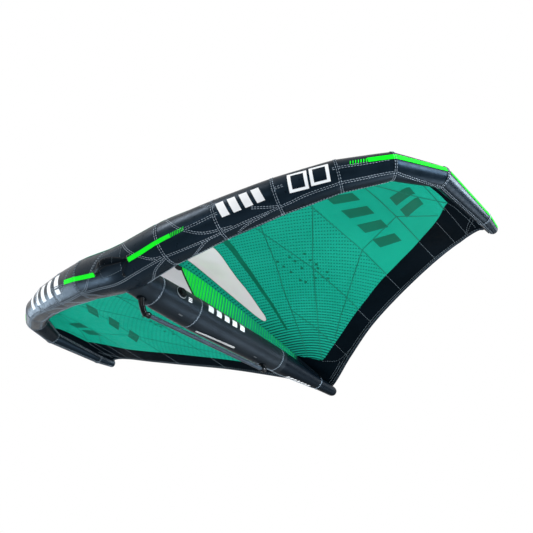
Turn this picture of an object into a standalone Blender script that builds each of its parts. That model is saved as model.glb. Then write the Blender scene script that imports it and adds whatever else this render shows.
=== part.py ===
"""Wingfoil wing: inflated leading edge and strut, cloth canopy, boom bar, front handle."""
import math

import bmesh
import bpy
from mathutils import Vector
from mathutils.bvhtree import BVHTree
from mathutils.geometry import delaunay_2d_cdt

# Main sizes of the wing, in metres
HALF_SPAN = 1.500
CHORD = 1.930
TUBE_RADIUS = 0.120
STRUT_RADIUS = 0.085
STRUT_DROP = 0.036

# Walls and fits
SLEEVE_WALL = 0.0010
BLADDER_WALL = 0.0003
CLOTH_THICKNESS = 0.0006
PANE_THICKNESS = 0.0005
FIT_GAP = 0.0003
SEAT_GAP = 0.0004
SADDLE_GAP = 0.0014
SADDLE_GRAZE = 0.35

# Leading edge tube: panel seams from the middle to the tip on the +X side, named right
NODE_SPAN_SHARES = (0.0, 0.188, 0.3765, 0.5645, 0.7465, 0.888, 0.983, 1.002, 1.0)
NODE_SWEEP_SHARES = (0.0, 0.005, 0.037, 0.081, 0.136, 0.205, 0.328, 0.556, 0.629)
NODE_RISE_SHARES = (0.0, 0.031, 0.072, 0.115, 0.155, 0.185, 0.199, 0.200, 0.202)
NODE_RADIUS_SHARES = (1.0, 0.933, 0.842, 0.767, 0.667, 0.567, 0.442, 0.308, 0.217)
ATTACH_ANGLES = (60.0, 45.0, 30.0, 20.0, 15.0, 10.0, 5.0, 0.0, 0.0)

# Trailing edge points that belong to the same seams, and the camber there
EDGE_SPAN_SHARES = (0.0, 0.188, 0.3765, 0.5645, 0.7465, 0.867, 0.933, 0.968, 0.984)
EDGE_CHORD_SHARES = (1.0, 0.887, 0.779, 0.695, 0.637, 0.620, 0.619, 0.6295, 0.6425)
EDGE_RISE_SHARES = (0.0033, 0.044, 0.0813, 0.1133, 0.1533, 0.1893, 0.2033, 0.204, 0.2027)
CAMBER_SHARES = (0.070, 0.0567, 0.0427, 0.0267, 0.020, 0.0227, 0.0147, 0.0067, 0.0027)
CAMBER_PEAK_POWER = 0.6

# Canopy seams: counted in tube panels from the middle
SEAM_FIRST = 2.12
SEAM_SECOND = 3.19
SEAM_THIRD = 4.22
SEAM_TIP = 5.72
PATCH_EDGE = 0.41
BAND_STATIONS = (0.0, 1.0, 2.12, 3.19, 4.22, 5.23, 5.72)
BAND_SHARES = (0.872, 0.882, 0.864, 0.816, 0.773, 0.632, 0.500)
ROW_SHARES = (0.0, 0.06, 0.15, 0.28, 0.42, 0.60, 0.80, 1.0)
BAND_ROW_SHARES = (0.0, 0.5, 1.0)
MIDDLE_STATIONS = (0.6, 1.0, 1.35, 1.7)
INNER_STATIONS = (2.6, 3.0)
OUTER_STATIONS = (3.6, 4.0)
END_STATIONS = (4.6, 5.0, 5.4)
TIP_STATIONS = (6.0, 6.5, 7.0, 7.5)
BAND_INNER_STATIONS = (1.0, 1.6)
WINDOW_MARGIN = 0.030
WINDOW_STATIONS = (0.45, 1.26, 1.082, 0.778, 0.603, 0.409, 0.332, 0.234, 0.158, 0.159, 0.229)
WINDOW_CHORD_SHARES = (0.075, 0.075, 0.174, 0.306, 0.415, 0.506, 0.549, 0.556, 0.541, 0.479, 0.312)

# Strut: ring seams along its length and radii there
RING_CHORD_SHARES = (0.1145, 0.271, 0.671, 0.916, 0.998)
RING_RADIUS_SHARES = (0.988, 1.0, 0.835, 0.447, 0.376)
STRUT_ROOT_SHARE = 0.860
STRUT_DOME_LENGTH = 0.018
DOME_RING_SHARES = (0.0, 0.45, 0.8)
DOME_RADIUS_SHARES = (1.0, 0.9, 0.6)
TIP_DOME_LENGTH = 0.012

# Profile panel between the canopy and the strut
PROFILE_TOP_START_SHARE = 0.196
PROFILE_FOOT_START_SHARE = 0.268
PROFILE_END_SHARE = 0.910
PROFILE_TAB_WIDTH = 0.0040
PROFILE_TAB_LENGTH = 0.050
PROFILE_TAB_HEIGHT = 0.028
PROFILE_TAB_DEPTH_SHARES = (0.45, 1.0, 0.9)

# Boom bar and its two brackets
BAR_RADIUS = 0.0120
BAR_WALL = 0.0016
BAR_LENGTH = 1.000
BAR_START = 0.156
BAR_CLEAR_FRONT = 0.0640
BAR_CLEAR_REAR = 0.0285
PLUG_DEPTH = 0.018
PLUG_HEAD = 0.004
SOCKET_RADIUS = 0.0170
SOCKET_LENGTH = 0.056
SOCKET_SETBACK = 0.010
ARM_HALF_WIDTH = 0.0190
ARM_HALF_DEPTH = 0.0110
ARM_SINK = 0.020
ARM_TAPER_SHARE = 0.8
FRONT_ARM_LEAD = 0.052
FRONT_ARM_BOW = 0.012
FRONT_ARM_SIZE_SHARE = 1.0
REAR_ARM_LEAD = 0.010
REAR_ARM_BOW = 0.006
REAR_ARM_SIZE_SHARE = 0.8

# Front handle on the middle of the leading edge
HANDLE_HALF_SPAN = 0.104
HANDLE_ANGLE = 27.0
HANDLE_ARCH_ANGLE = 17.0
HANDLE_STAND = 0.0360
HANDLE_ARCH_POWER = 1.3
GRIP_SWELL_SHARE = 1.25
HANDLE_FOOT_GAP = 0.0003
GRIP_HALF_WIDTH = 0.0210
GRIP_HALF_DEPTH = 0.0110
GRIP_END_RADIUS = 0.0065
HANDLE_TAB_LENGTH = 0.040
HANDLE_TAB_WIDTH = 0.034
HANDLE_TAB_THICKNESS = 0.0024

# Leash loop and its two anchor tabs
LOOP_RADIUS = 0.0028
LOOP_ARCH = 0.020
LOOP_FIRST_SPAN = 0.106
LOOP_FIRST_ANGLE = 33.5
LOOP_SECOND_SPAN = 0.056
LOOP_SECOND_ANGLE = 58.0
LOOP_FOOT_GAP = 0.0004
ANCHOR_LENGTH = 0.020
ANCHOR_WIDTH = 0.014
ANCHOR_THICKNESS = 0.0020

# Inflation valve on the strut
VALVE_CHORD_SHARE = 0.167
VALVE_ANGLE = 10.0
VALVE_FLANGE_RADIUS = 0.0320
VALVE_FLANGE_HEIGHT = 0.0070
VALVE_NECK_RADIUS = 0.0180
VALVE_NECK_HEIGHT = 0.0070
VALVE_BORE_RADIUS = 0.0130
VALVE_SINK = 0.0080
CAP_RADIUS = 0.0205
CAP_HEIGHT = 0.0045
CAP_STRAP_WIDTH = 0.0080
ANCHOR_DROP = 0.0008
CAP_HINGE_REACH = 0.0250

# Air hose between the two bladders, and its ports
HOSE_RADIUS = 0.0140
HOSE_WALL = 0.0020
PORT_STATION = 0.10
BLADDER_TRIM_SHARE = 0.02
PORT_FIRST_SEGMENT = 22
NECK_LENGTH = 0.030
HOSE_INSET = 0.038

# Mesh fineness
TUBE_SEGMENTS = 24
BAR_SEGMENTS = 20
BAR_RINGS = 5
ARM_RINGS = 7
HANDLE_RINGS = 15
LOOP_RINGS = 9
PLATE_ROWS = 5
CORD_SEGMENTS = 10
VALVE_SEGMENTS = 28
SMALL_STEP = 0.001
HALF = 0.5

MATERIALS = {
    "sleeve_slate": ((0.030, 0.042, 0.055), 0.45, 0.0, 1.0),
    "bladder_clear": ((0.55, 0.60, 0.62), 0.30, 0.0, 1.0),
    "canopy_teal": ((0.012, 0.390, 0.265), 0.50, 0.0, 1.0),
    "band_black": ((0.004, 0.008, 0.014), 0.50, 0.0, 1.0),
    "window_clear": ((0.62, 0.62, 0.61), 0.15, 0.0, 0.55),
    "profile_green": ((0.010, 0.780, 0.030), 0.45, 0.0, 1.0),
    "bar_grey": ((0.120, 0.118, 0.145), 0.30, 0.0, 1.0),
    "bracket_black": ((0.010, 0.012, 0.015), 0.40, 0.0, 1.0),
    "grip_black": ((0.012, 0.014, 0.018), 0.70, 0.0, 1.0),
    "webbing_black": ((0.008, 0.009, 0.011), 0.75, 0.0, 1.0),
    "valve_black": ((0.010, 0.011, 0.013), 0.35, 0.0, 1.0),
    "cord_black": ((0.010, 0.010, 0.012), 0.65, 0.0, 1.0),
}


def lerp(a, b, share):
    return a + (b - a) * share


def table_at(table, station):
    top = len(table) - 1
    clipped = min(max(station, 0.0), float(top))
    first = min(int(clipped), top - 1)
    return lerp(table[first], table[first + 1], clipped - first)


def pair_table(keys, values, at):
    for k in range(len(keys) - 1):
        if at <= keys[k + 1]:
            span = keys[k + 1] - keys[k]
            return lerp(values[k], values[k + 1], (at - keys[k]) / span)
    return values[-1]


# Strut and boom bar lines; the origin is the middle of the boom bar
def strut_radius_at(y):
    share = y / CHORD
    if share <= RING_CHORD_SHARES[0]:
        low = RING_RADIUS_SHARES[0] * STRUT_RADIUS
        root = STRUT_ROOT_SHARE * STRUT_RADIUS
        return lerp(root, low, max(share, 0.0) / RING_CHORD_SHARES[0])
    return STRUT_RADIUS * pair_table(RING_CHORD_SHARES, RING_RADIUS_SHARES, share)


def bar_height(y, clear):
    return -STRUT_DROP - strut_radius_at(y) - clear - BAR_RADIUS


BAR_END = BAR_START + BAR_LENGTH
BAR_FRONT_POINT = Vector((0.0, BAR_START, bar_height(BAR_START, BAR_CLEAR_FRONT)))
BAR_REAR_POINT = Vector((0.0, BAR_END, bar_height(BAR_END, BAR_CLEAR_REAR)))
ORIGIN = (BAR_FRONT_POINT + BAR_REAR_POINT) * HALF
BAR_DIRECTION = (BAR_REAR_POINT - BAR_FRONT_POINT).normalized()


# Leading edge axis on the +X side; the other side is its mirror image
def node_point(k):
    x = NODE_SPAN_SHARES[k] * HALF_SPAN
    y = NODE_SWEEP_SHARES[k] * CHORD
    z = NODE_RISE_SHARES[k] * HALF_SPAN
    return Vector((x, y, z))


NODES = [node_point(k) for k in range(len(NODE_SPAN_SHARES))]
LAST = len(NODES) - 1


def node_tangent(k):
    if k == 0:
        return Vector((1.0, 0.0, 0.0))
    back = (NODES[k] - NODES[k - 1]).normalized()
    if k == LAST:
        return back
    ahead = (NODES[k + 1] - NODES[k]).normalized()
    return (back + ahead).normalized()


TANGENTS = [node_tangent(k) for k in range(len(NODES))]


def mirrored(vector, side):
    return Vector((vector.x * side, vector.y, vector.z))


def axis_frame(station):
    side = -1.0 if station < 0.0 else 1.0
    at = abs(station)
    first = min(int(at), LAST - 1)
    share = at - first
    centre = NODES[first].lerp(NODES[first + 1], share)
    if at < PORT_STATION:
        centre = NODES[0].lerp(NODES[1], PORT_STATION)
        centre.x = lerp(NODES[0].x, NODES[1].x, at)
    tangent = TANGENTS[first].lerp(TANGENTS[first + 1], share).normalized()
    inward = Vector((0.0, 0.0, 1.0)).cross(tangent).normalized()
    upward = tangent.cross(inward).normalized()
    radius = TUBE_RADIUS * table_at(NODE_RADIUS_SHARES, at)
    return mirrored(centre, side), mirrored(inward, side), mirrored(upward, side), radius


def tube_point(station, angle, extra):
    centre, inward, upward, radius = axis_frame(station)
    reach = radius + extra
    turn = math.radians(angle)
    return centre + inward * (reach * math.cos(turn)) + upward * (reach * math.sin(turn))


def node_ring(station, inset, segments):
    centre, inward, upward, radius = axis_frame(station)
    ring = []
    for s in range(segments):
        turn = math.tau * s / segments
        reach = radius - inset
        ring.append(centre + inward * (reach * math.cos(turn)) + upward * (reach * math.sin(turn)))
    return ring


def between_rings(first, second, share):
    return [a.lerp(b, share) for a, b in zip(first, second)]


# Canopy surface over the station along the span and the share along the chord
def edge_point(station):
    x = table_at(EDGE_SPAN_SHARES, station) * HALF_SPAN
    y = table_at(EDGE_CHORD_SHARES, station) * CHORD
    z = table_at(EDGE_RISE_SHARES, station) * HALF_SPAN
    return Vector((x, y, z))


def canopy_point(station, share):
    side = -1.0 if station < 0.0 else 1.0
    at = abs(station)
    angle = table_at(ATTACH_ANGLES, at)
    front = tube_point(at, angle, FIT_GAP + CLOTH_THICKNESS)
    rear = edge_point(at)
    camber = table_at(CAMBER_SHARES, at) * HALF_SPAN
    point = front.lerp(rear, share)
    point.z += camber * math.sin(math.pi * max(share, 0.0) ** CAMBER_PEAK_POWER)
    return mirrored(point, side)


def canopy_normal(station, share):
    low = max(share - SMALL_STEP, 0.0)
    high = min(share + SMALL_STEP, 1.0)
    limit = float(LAST)
    left = max(station - SMALL_STEP, -limit)
    right = min(station + SMALL_STEP, limit)
    along = canopy_point(right, share) - canopy_point(left, share)
    aft = canopy_point(station, high) - canopy_point(station, low)
    return along.cross(aft).normalized()


def station_step(station, share, distance):
    along = canopy_point(station + SMALL_STEP, share) - canopy_point(station - SMALL_STEP, share)
    return distance * (SMALL_STEP + SMALL_STEP) / along.length


def share_step(station, share, distance):
    aft = canopy_point(station, share) - canopy_point(station, share - SMALL_STEP)
    return distance * SMALL_STEP / aft.length


def band_share(station):
    return pair_table(BAND_STATIONS, BAND_SHARES, abs(station))


# Mesh helpers
def add_object(name, points, faces, material, smooth=True, origin=None):
    pivot = ORIGIN if origin is None else origin
    mesh = bpy.data.meshes.new(name)
    mesh.from_pydata([tuple(p - pivot) for p in points], [], faces)
    work = bmesh.new()
    work.from_mesh(mesh)
    bmesh.ops.recalc_face_normals(work, faces=work.faces)
    work.to_mesh(mesh)
    work.free()
    for polygon in mesh.polygons:
        polygon.use_smooth = smooth
    mesh.materials.append(bpy.data.materials[material])
    made = bpy.data.objects.new(name, mesh)
    made.location = pivot - ORIGIN
    bpy.context.scene.collection.objects.link(made)
    return made


def shell(name, outer, inner, material, open_cells=(), start_points=None, end_points=None):
    rings = len(outer)
    count = len(outer[0])
    points = [p for ring in outer for p in ring]
    base = len(points)
    points += [p for ring in inner for p in ring]
    faces = []

    def index(r, s):
        return r * count + s % count

    removed = set(open_cells)
    for r in range(rings - 1):
        for s in range(count):
            a, b = index(r, s), index(r, s + 1)
            c, d = index(r + 1, s + 1), index(r + 1, s)
            if (r, s) in removed:
                neighbours = ((r, (s - 1) % count, d, a), (r, (s + 1) % count, b, c))
                neighbours += ((r - 1, s, a, b), (r + 1, s, c, d))
                for nr, ns, p, q in neighbours:
                    if (nr, ns) not in removed:
                        faces.append((p, q, q + base, p + base))
                continue
            faces += [(a, b, c), (a, c, d)]
            faces += [(c + base, b + base, a + base), (d + base, c + base, a + base)]
    for ring, tips in ((0, start_points), (rings - 1, end_points)):
        if tips is None:
            for s in range(count):
                a, b = index(ring, s), index(ring, s + 1)
                faces.append((a, b, b + base, a + base))
            continue
        points += list(tips)
        outer_tip = len(points) - 2
        inner_tip = len(points) - 1
        for s in range(count):
            a, b = index(ring, s), index(ring, s + 1)
            faces.append((a, b, outer_tip))
            faces.append((b + base, a + base, inner_tip))
    return add_object(name, points, faces, material)


def slab(name, flat, triangles, thickness, material):
    upper = []
    lower = []
    for station, share in flat:
        point = canopy_point(station, share)
        normal = canopy_normal(station, share)
        upper.append(point + normal * (thickness * HALF))
        lower.append(point - normal * (thickness * HALF))
    base = len(flat)
    faces = []
    edges = {}
    for a, b, c in triangles:
        faces.append((a, b, c))
        faces.append((c + base, b + base, a + base))
        for p, q in ((a, b), (b, c), (c, a)):
            edges[(p, q)] = True
    for p, q in edges:
        if (q, p) not in edges:
            faces.append((q, p, p + base, q + base))
    return add_object(name, upper + lower, faces, material)


def grid_slab(name, stations, low_share, high_share, rows, material):
    flat = []
    for k, station in enumerate(stations):
        shift = 0.0
        middle = HALF * (low_share(station) + high_share(station))
        if k == 0:
            shift = station_step(station, middle, FIT_GAP * HALF)
        if k == len(stations) - 1:
            shift = -station_step(station, middle, FIT_GAP * HALF)
        at = station + shift
        low = low_share(station)
        high = high_share(station)
        if low > 0.0:
            low += share_step(station, low, FIT_GAP * HALF)
        if high < 1.0:
            high -= share_step(station, high, FIT_GAP * HALF)
        for row in rows:
            flat.append((at, lerp(low, high, row)))
    count = len(rows)
    triangles = []
    for k in range(len(stations) - 1):
        for j in range(count - 1):
            a = k * count + j
            b = (k + 1) * count + j
            triangles.append((a, b, b + 1))
            triangles.append((a, b + 1, a + 1))
    return slab(name, flat, triangles, CLOTH_THICKNESS, material)


def sweep(points, half_widths, half_depths, side_hint, segments):
    rings = []
    for k, point in enumerate(points):
        before = points[max(k - 1, 0)]
        after = points[min(k + 1, len(points) - 1)]
        tangent = (after - before).normalized()
        across = (side_hint - tangent * side_hint.dot(tangent)).normalized()
        over = tangent.cross(across)
        ring = []
        for s in range(segments):
            turn = math.tau * s / segments
            wide = across * (half_widths[k] * math.cos(turn))
            deep = over * (half_depths[k] * math.sin(turn))
            ring.append(point + wide + deep)
        rings.append(ring)
    flat_points = [p for ring in rings for p in ring]
    faces = []
    for r in range(len(rings) - 1):
        for s in range(segments):
            t = (s + 1) % segments
            a = r * segments
            b = (r + 1) * segments
            faces.append((a + s, a + t, b + t, b + s))
    faces.append(tuple(range(segments)))
    end = (len(rings) - 1) * segments
    faces.append(tuple(range(end, end + segments)))
    return flat_points, faces


def combine(target, cutter, operation):
    cutter.hide_render = True
    cutter.display_type = "WIRE"
    step = target.modifiers.new("step", "BOOLEAN")
    step.object = cutter
    step.operation = operation
    step.solver = "EXACT"
    bpy.context.view_layer.update()
    graph = bpy.context.evaluated_depsgraph_get()
    result = bpy.data.meshes.new_from_object(target.evaluated_get(graph))
    target.modifiers.clear()
    old = target.data
    target.data = result
    bpy.data.meshes.remove(old)
    bpy.data.objects.remove(cutter)
    work = bmesh.new()
    work.from_mesh(result)
    bmesh.ops.remove_doubles(work, verts=work.verts, dist=SMALL_STEP * SMALL_STEP * TUBE_RADIUS)
    bmesh.ops.recalc_face_normals(work, faces=work.faces)
    work.to_mesh(result)
    work.free()
    return target


# Leading edge sleeve, its tip caps and its bladder
def build_leading_edge():
    port_cells = []
    stations = (-1.0, -PORT_STATION, PORT_STATION, 1.0)
    outer = []
    inner = []
    for station in stations:
        inset = FIT_GAP * HALF if abs(station) == 1.0 else 0.0
        scale = inset / (NODES[1] - NODES[0]).length
        at = station * (1.0 - scale)
        outer.append(node_ring(at, 0.0, TUBE_SEGMENTS))
        inner.append(node_ring(at, SLEEVE_WALL, TUBE_SEGMENTS))
    for s in (PORT_FIRST_SEGMENT, PORT_FIRST_SEGMENT + 1):
        port_cells.append((1, s))
    shell("edge_sleeve_middle", outer, inner, "sleeve_slate", open_cells=port_cells)

    for side, word in ((1.0, "right"), (-1.0, "left")):
        for k in range(1, LAST):
            length = (NODES[k + 1] - NODES[k]).length
            trim = FIT_GAP * HALF / length
            ends = []
            for inset in (0.0, SLEEVE_WALL):
                near = node_ring(side * k, inset, TUBE_SEGMENTS)
                far = node_ring(side * (k + 1), inset, TUBE_SEGMENTS)
                pair = [between_rings(near, far, trim), between_rings(near, far, 1.0 - trim)]
                ends.append(pair if side > 0.0 else pair[::-1])
            name = "edge_sleeve_%d_%s" % (k, word)
            shell(name, ends[0], ends[1], "sleeve_slate")
        tangent = mirrored(TANGENTS[LAST], side)
        centre, inward, upward, radius = axis_frame(side * LAST)
        start = centre + tangent * (FIT_GAP * HALF)
        caps = []
        for inset in (0.0, SLEEVE_WALL):
            rings = []
            for along, wide in zip(DOME_RING_SHARES, DOME_RADIUS_SHARES):
                shift = tangent * (along * TIP_DOME_LENGTH)
                ring = []
                for s in range(TUBE_SEGMENTS):
                    turn = math.tau * s / TUBE_SEGMENTS
                    reach = (radius - inset) * wide
                    arm = inward * (reach * math.cos(turn)) + upward * (reach * math.sin(turn))
                    ring.append(start + shift + arm)
                rings.append(ring)
            caps.append(rings)
        tips = (start + tangent * TIP_DOME_LENGTH, start + tangent * (TIP_DOME_LENGTH - SLEEVE_WALL))
        shell("edge_tip_cap_%s" % word, caps[0], caps[1], "band_black", end_points=tips)

    gap = SLEEVE_WALL + SEAT_GAP
    order = [-float(k) for k in range(LAST, 0, -1)]
    order += [-PORT_STATION, PORT_STATION]
    order += [float(k) for k in range(1, LAST + 1)]
    outer = [node_ring(station, gap, TUBE_SEGMENTS) for station in order]
    inner = [node_ring(station, gap + BLADDER_WALL, TUBE_SEGMENTS) for station in order]
    inner[0] = between_rings(inner[0], inner[1], BLADDER_TRIM_SHARE)
    inner[-1] = between_rings(inner[-1], inner[-2], BLADDER_TRIM_SHARE)
    outer_ends = []
    inner_ends = []
    for side in (-1.0, 1.0):
        centre = axis_frame(side * LAST)[0]
        tangent = mirrored(TANGENTS[LAST], side)
        outer_ends.append(centre + tangent * FIT_GAP * HALF)
        inner_ends.append(centre - tangent * (BLADDER_WALL + BLADDER_WALL))
    port = [(LAST, s) for s in (PORT_FIRST_SEGMENT, PORT_FIRST_SEGMENT + 1)]
    shell("edge_bladder", outer, inner, "bladder_clear", open_cells=port,
          start_points=(outer_ends[0], inner_ends[0]), end_points=(outer_ends[1], inner_ends[1]))


# Strut sleeve, end cap, bladder and the air hose in front of it
def middle_tube_tree():
    rings = [node_ring(at, 0.0, TUBE_SEGMENTS) for at in (-1.0, -PORT_STATION, PORT_STATION, 1.0)]
    points = [p for ring in rings for p in ring]
    faces = []
    for r in range(len(rings) - 1):
        for s in range(TUBE_SEGMENTS):
            t = (s + 1) % TUBE_SEGMENTS
            a = r * TUBE_SEGMENTS
            b = a + TUBE_SEGMENTS
            faces += [(a + s, a + t, b + t), (a + s, b + t, b + s)]
    return BVHTree.FromPolygons(points, faces)


def saddle_y(tree, x, z):
    start = Vector((x, CHORD, z))
    hit, normal, face, distance = tree.ray_cast(start, Vector((0.0, -1.0, 0.0)))
    if hit is None:
        return 0.0
    return hit.y + SADDLE_GAP / max(abs(normal.y), SADDLE_GRAZE)


def strut_ring(y, radius):
    ring = []
    for s in range(TUBE_SEGMENTS):
        turn = math.tau * s / TUBE_SEGMENTS
        ring.append(Vector((radius * math.cos(turn), y, -STRUT_DROP + radius * math.sin(turn))))
    return ring


def saddle_ring(tree, radius):
    ring = []
    for s in range(TUBE_SEGMENTS):
        turn = math.tau * s / TUBE_SEGMENTS
        x = radius * math.cos(turn)
        z = -STRUT_DROP + radius * math.sin(turn)
        ring.append(Vector((x, saddle_y(tree, x, z), z)))
    return ring


def build_strut():
    rings_y = [share * CHORD for share in RING_CHORD_SHARES]
    seam = FIT_GAP * HALF
    root = STRUT_ROOT_SHARE * STRUT_RADIUS
    first = strut_radius_at(rings_y[0])
    tree = middle_tube_tree()
    outer = [saddle_ring(tree, root), strut_ring(rings_y[0] - seam, first)]
    inner = [saddle_ring(tree, root - SLEEVE_WALL), strut_ring(rings_y[0] - seam, first - SLEEVE_WALL)]
    shell("strut_sleeve_root", outer, inner, "sleeve_slate")
    for k in range(len(rings_y) - 2):
        near = strut_radius_at(rings_y[k])
        far = strut_radius_at(rings_y[k + 1])
        outer = [strut_ring(rings_y[k] + seam, near), strut_ring(rings_y[k + 1] - seam, far)]
        inner = [strut_ring(rings_y[k] + seam, near - SLEEVE_WALL)]
        inner.append(strut_ring(rings_y[k + 1] - seam, far - SLEEVE_WALL))
        shell("strut_sleeve_%d" % (k + 1), outer, inner, "sleeve_slate")
    near = strut_radius_at(rings_y[-2])
    far = strut_radius_at(rings_y[-1])
    ends = []
    for inset in (0.0, SLEEVE_WALL):
        rings = [strut_ring(rings_y[-2] + seam, near - inset)]
        for along, wide in zip(DOME_RING_SHARES, DOME_RADIUS_SHARES):
            y = rings_y[-1] + along * STRUT_DOME_LENGTH
            rings.append(strut_ring(y, (far - inset) * wide))
        ends.append(rings)
    tip_y = rings_y[-1] + STRUT_DOME_LENGTH
    tips = (Vector((0.0, tip_y, -STRUT_DROP)), Vector((0.0, tip_y - SLEEVE_WALL, -STRUT_DROP)))
    shell("strut_end_cap", ends[0], ends[1], "band_black", end_points=tips)

    gap = SLEEVE_WALL + SEAT_GAP
    front = saddle_y(tree, 0.0, -STRUT_DROP) + NECK_LENGTH
    neck = HOSE_RADIUS + SEAT_GAP
    shoulder = root - gap
    outer = [strut_ring(front, neck + BLADDER_WALL), strut_ring(front + NECK_LENGTH, shoulder)]
    inner = [strut_ring(front, neck), strut_ring(front + NECK_LENGTH, shoulder - BLADDER_WALL)]
    for y in rings_y:
        radius = strut_radius_at(y) - gap
        outer.append(strut_ring(y, radius))
        inner.append(strut_ring(y, radius - BLADDER_WALL))
    end_y = rings_y[-1]
    inner[-1] = strut_ring(end_y - BLADDER_WALL, strut_radius_at(end_y) - gap - BLADDER_WALL)
    tips = (Vector((0.0, end_y + BLADDER_WALL, -STRUT_DROP)),)
    tips += (Vector((0.0, end_y - BLADDER_WALL - BLADDER_WALL, -STRUT_DROP)),)
    shell("strut_bladder", outer, inner, "bladder_clear", end_points=tips)

    hose_front = front - NECK_LENGTH - HOSE_INSET
    hose_rear = front + NECK_LENGTH * HALF
    outer = [strut_ring(hose_front, HOSE_RADIUS), strut_ring(hose_rear, HOSE_RADIUS)]
    inner_radius = HOSE_RADIUS - HOSE_WALL
    inner = [strut_ring(hose_front, inner_radius), strut_ring(hose_rear, inner_radius)]
    shell("air_hose", outer, inner, "cord_black")


# Canopy cloth, windows, trailing edge band and profile panel
def window_outline(grow):
    scale_x = (canopy_point(1.0, HALF) - canopy_point(0.0, HALF)).length
    scale_y = (canopy_point(HALF, 1.0) - canopy_point(HALF, 0.0)).length
    raw = [Vector((i * scale_x, v * scale_y)) for i, v in zip(WINDOW_STATIONS, WINDOW_CHORD_SHARES)]
    count = len(raw)
    area = sum(raw[k].x * raw[(k + 1) % count].y - raw[(k + 1) % count].x * raw[k].y for k in range(count))
    turn = 1.0 if area > 0.0 else -1.0
    moved = []
    for k in range(count):
        before = (raw[k] - raw[k - 1]).normalized()
        after = (raw[(k + 1) % count] - raw[k]).normalized()
        out_a = Vector((before.y, -before.x)) * turn
        out_b = Vector((after.y, -after.x)) * turn
        bisector = (out_a + out_b).normalized()
        reach = grow / max(bisector.dot(out_a), HALF)
        point = raw[k] + bisector * reach
        moved.append((point.x / scale_x, point.y / scale_y))
    return moved


def inside(point, polygon):
    hit = False
    count = len(polygon)
    for k in range(count):
        ax, ay = polygon[k]
        bx, by = polygon[(k + 1) % count]
        if (ay > point[1]) != (by > point[1]):
            if point[0] < ax + (bx - ax) * (point[1] - ay) / (by - ay):
                hit = not hit
    return hit


def cut_triangles(loops, extra_points, extra_edges, keep):
    points = []
    edges = []
    for loop in loops:
        base = len(points)
        points += [Vector(p) for p in loop]
        edges += [(base + k, base + (k + 1) % len(loop)) for k in range(len(loop))]
    base = len(points)
    points += [Vector(p) for p in extra_points]
    edges += [(base + a, base + b) for a, b in extra_edges]
    result = delaunay_2d_cdt(points, edges, [], 0, SMALL_STEP * SMALL_STEP)
    flat = [(p.x, p.y) for p in result[0]]
    triangles = []
    for face in result[2]:
        cx = sum(flat[k][0] for k in face) / len(face)
        cy = sum(flat[k][1] for k in face) / len(face)
        if keep((cx, cy)):
            triangles.append(tuple(face))
    return flat, triangles


def build_middle_canopy():
    limit = SEAM_FIRST - station_step(SEAM_FIRST, HALF, FIT_GAP * HALF)
    half_columns = [*MIDDLE_STATIONS, limit]
    columns = [-i for i in reversed(half_columns)] + [0.0] + half_columns
    rim = []
    for i in columns:
        rim.append((i, 0.0))
    high = [band_share(i) - share_step(i, band_share(i), FIT_GAP * HALF) for i in columns]
    for j in ROW_SHARES[1:-1]:
        rim.append((columns[-1], j * high[-1]))
    for i, top in zip(reversed(columns), reversed(high)):
        rim.append((i, top))
    for j in reversed(ROW_SHARES[1:-1]):
        rim.append((columns[0], j * high[0]))
    right = window_outline(FIT_GAP * HALF)
    left = [(-i, v) for i, v in right]
    wide_right = window_outline(WINDOW_MARGIN)
    wide_left = [(-i, v) for i, v in wide_right]
    extra = []
    for i, top in zip(columns[1:-1], high[1:-1]):
        for j in ROW_SHARES[1:-1]:
            point = (i, j * top)
            if i == 0.0 or not (inside(point, wide_right) or inside(point, wide_left)):
                extra.append(point)
    spine = [k for k, p in enumerate(extra) if p[0] == 0.0]
    spine_edges = [(a, b) for a, b in zip(spine[:-1], spine[1:])]

    def keep(centre):
        return not inside(centre, right) and not inside(centre, left) and inside(centre, rim)

    flat, triangles = cut_triangles([rim, right, left], extra, spine_edges, keep)
    slab("canopy_middle", flat, triangles, CLOTH_THICKNESS, "canopy_teal")
    for side, word in ((1.0, "right"), (-1.0, "left")):
        outline = [(i * side, v) for i, v in window_outline(-FIT_GAP * HALF)]
        pane_flat, pane_triangles = cut_triangles([outline], [], [], lambda c: inside(c, outline))
        slab("window_%s" % word, pane_flat, pane_triangles, PANE_THICKNESS, "window_clear")


def build_outer_canopy():
    def front(station):
        return 0.0

    def rear(station):
        return 1.0

    panels = (
        ("inner", (SEAM_FIRST, *INNER_STATIONS, SEAM_SECOND)),
        ("outer", (SEAM_SECOND, *OUTER_STATIONS, SEAM_THIRD)),
        ("end", (SEAM_THIRD, *END_STATIONS, SEAM_TIP)),
    )
    bands = (
        ("inner", (PATCH_EDGE, *BAND_INNER_STATIONS, SEAM_FIRST)),
        ("outer", (SEAM_FIRST, *INNER_STATIONS, SEAM_SECOND, *OUTER_STATIONS, SEAM_THIRD)),
        ("end", (SEAM_THIRD, *END_STATIONS, SEAM_TIP)),
    )
    for side, word in ((1.0, "right"), (-1.0, "left")):
        for part, stations in panels:
            placed = sorted(station * side for station in stations)
            name = "canopy_%s_%s" % (part, word)
            grid_slab(name, placed, front, band_share, ROW_SHARES, "canopy_teal")
        for part, stations in bands:
            placed = sorted(station * side for station in stations)
            name = "edge_band_%s_%s" % (part, word)
            grid_slab(name, placed, band_share, rear, BAND_ROW_SHARES, "band_black")
        tip = sorted(station * side for station in (SEAM_TIP, *TIP_STATIONS, float(LAST)))
        grid_slab("tip_panel_%s" % word, tip, front, rear, ROW_SHARES, "band_black")
    grid_slab("edge_patch", (-PATCH_EDGE, 0.0, PATCH_EDGE), band_share, rear, BAND_ROW_SHARES, "band_black")


def canopy_spine():
    top = band_share(0.0) - share_step(0.0, band_share(0.0), FIT_GAP * HALF)
    shares = [j * top for j in ROW_SHARES] + [1.0]
    return [(canopy_point(0.0, v).y, canopy_point(0.0, v).z) for v in shares]


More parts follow.
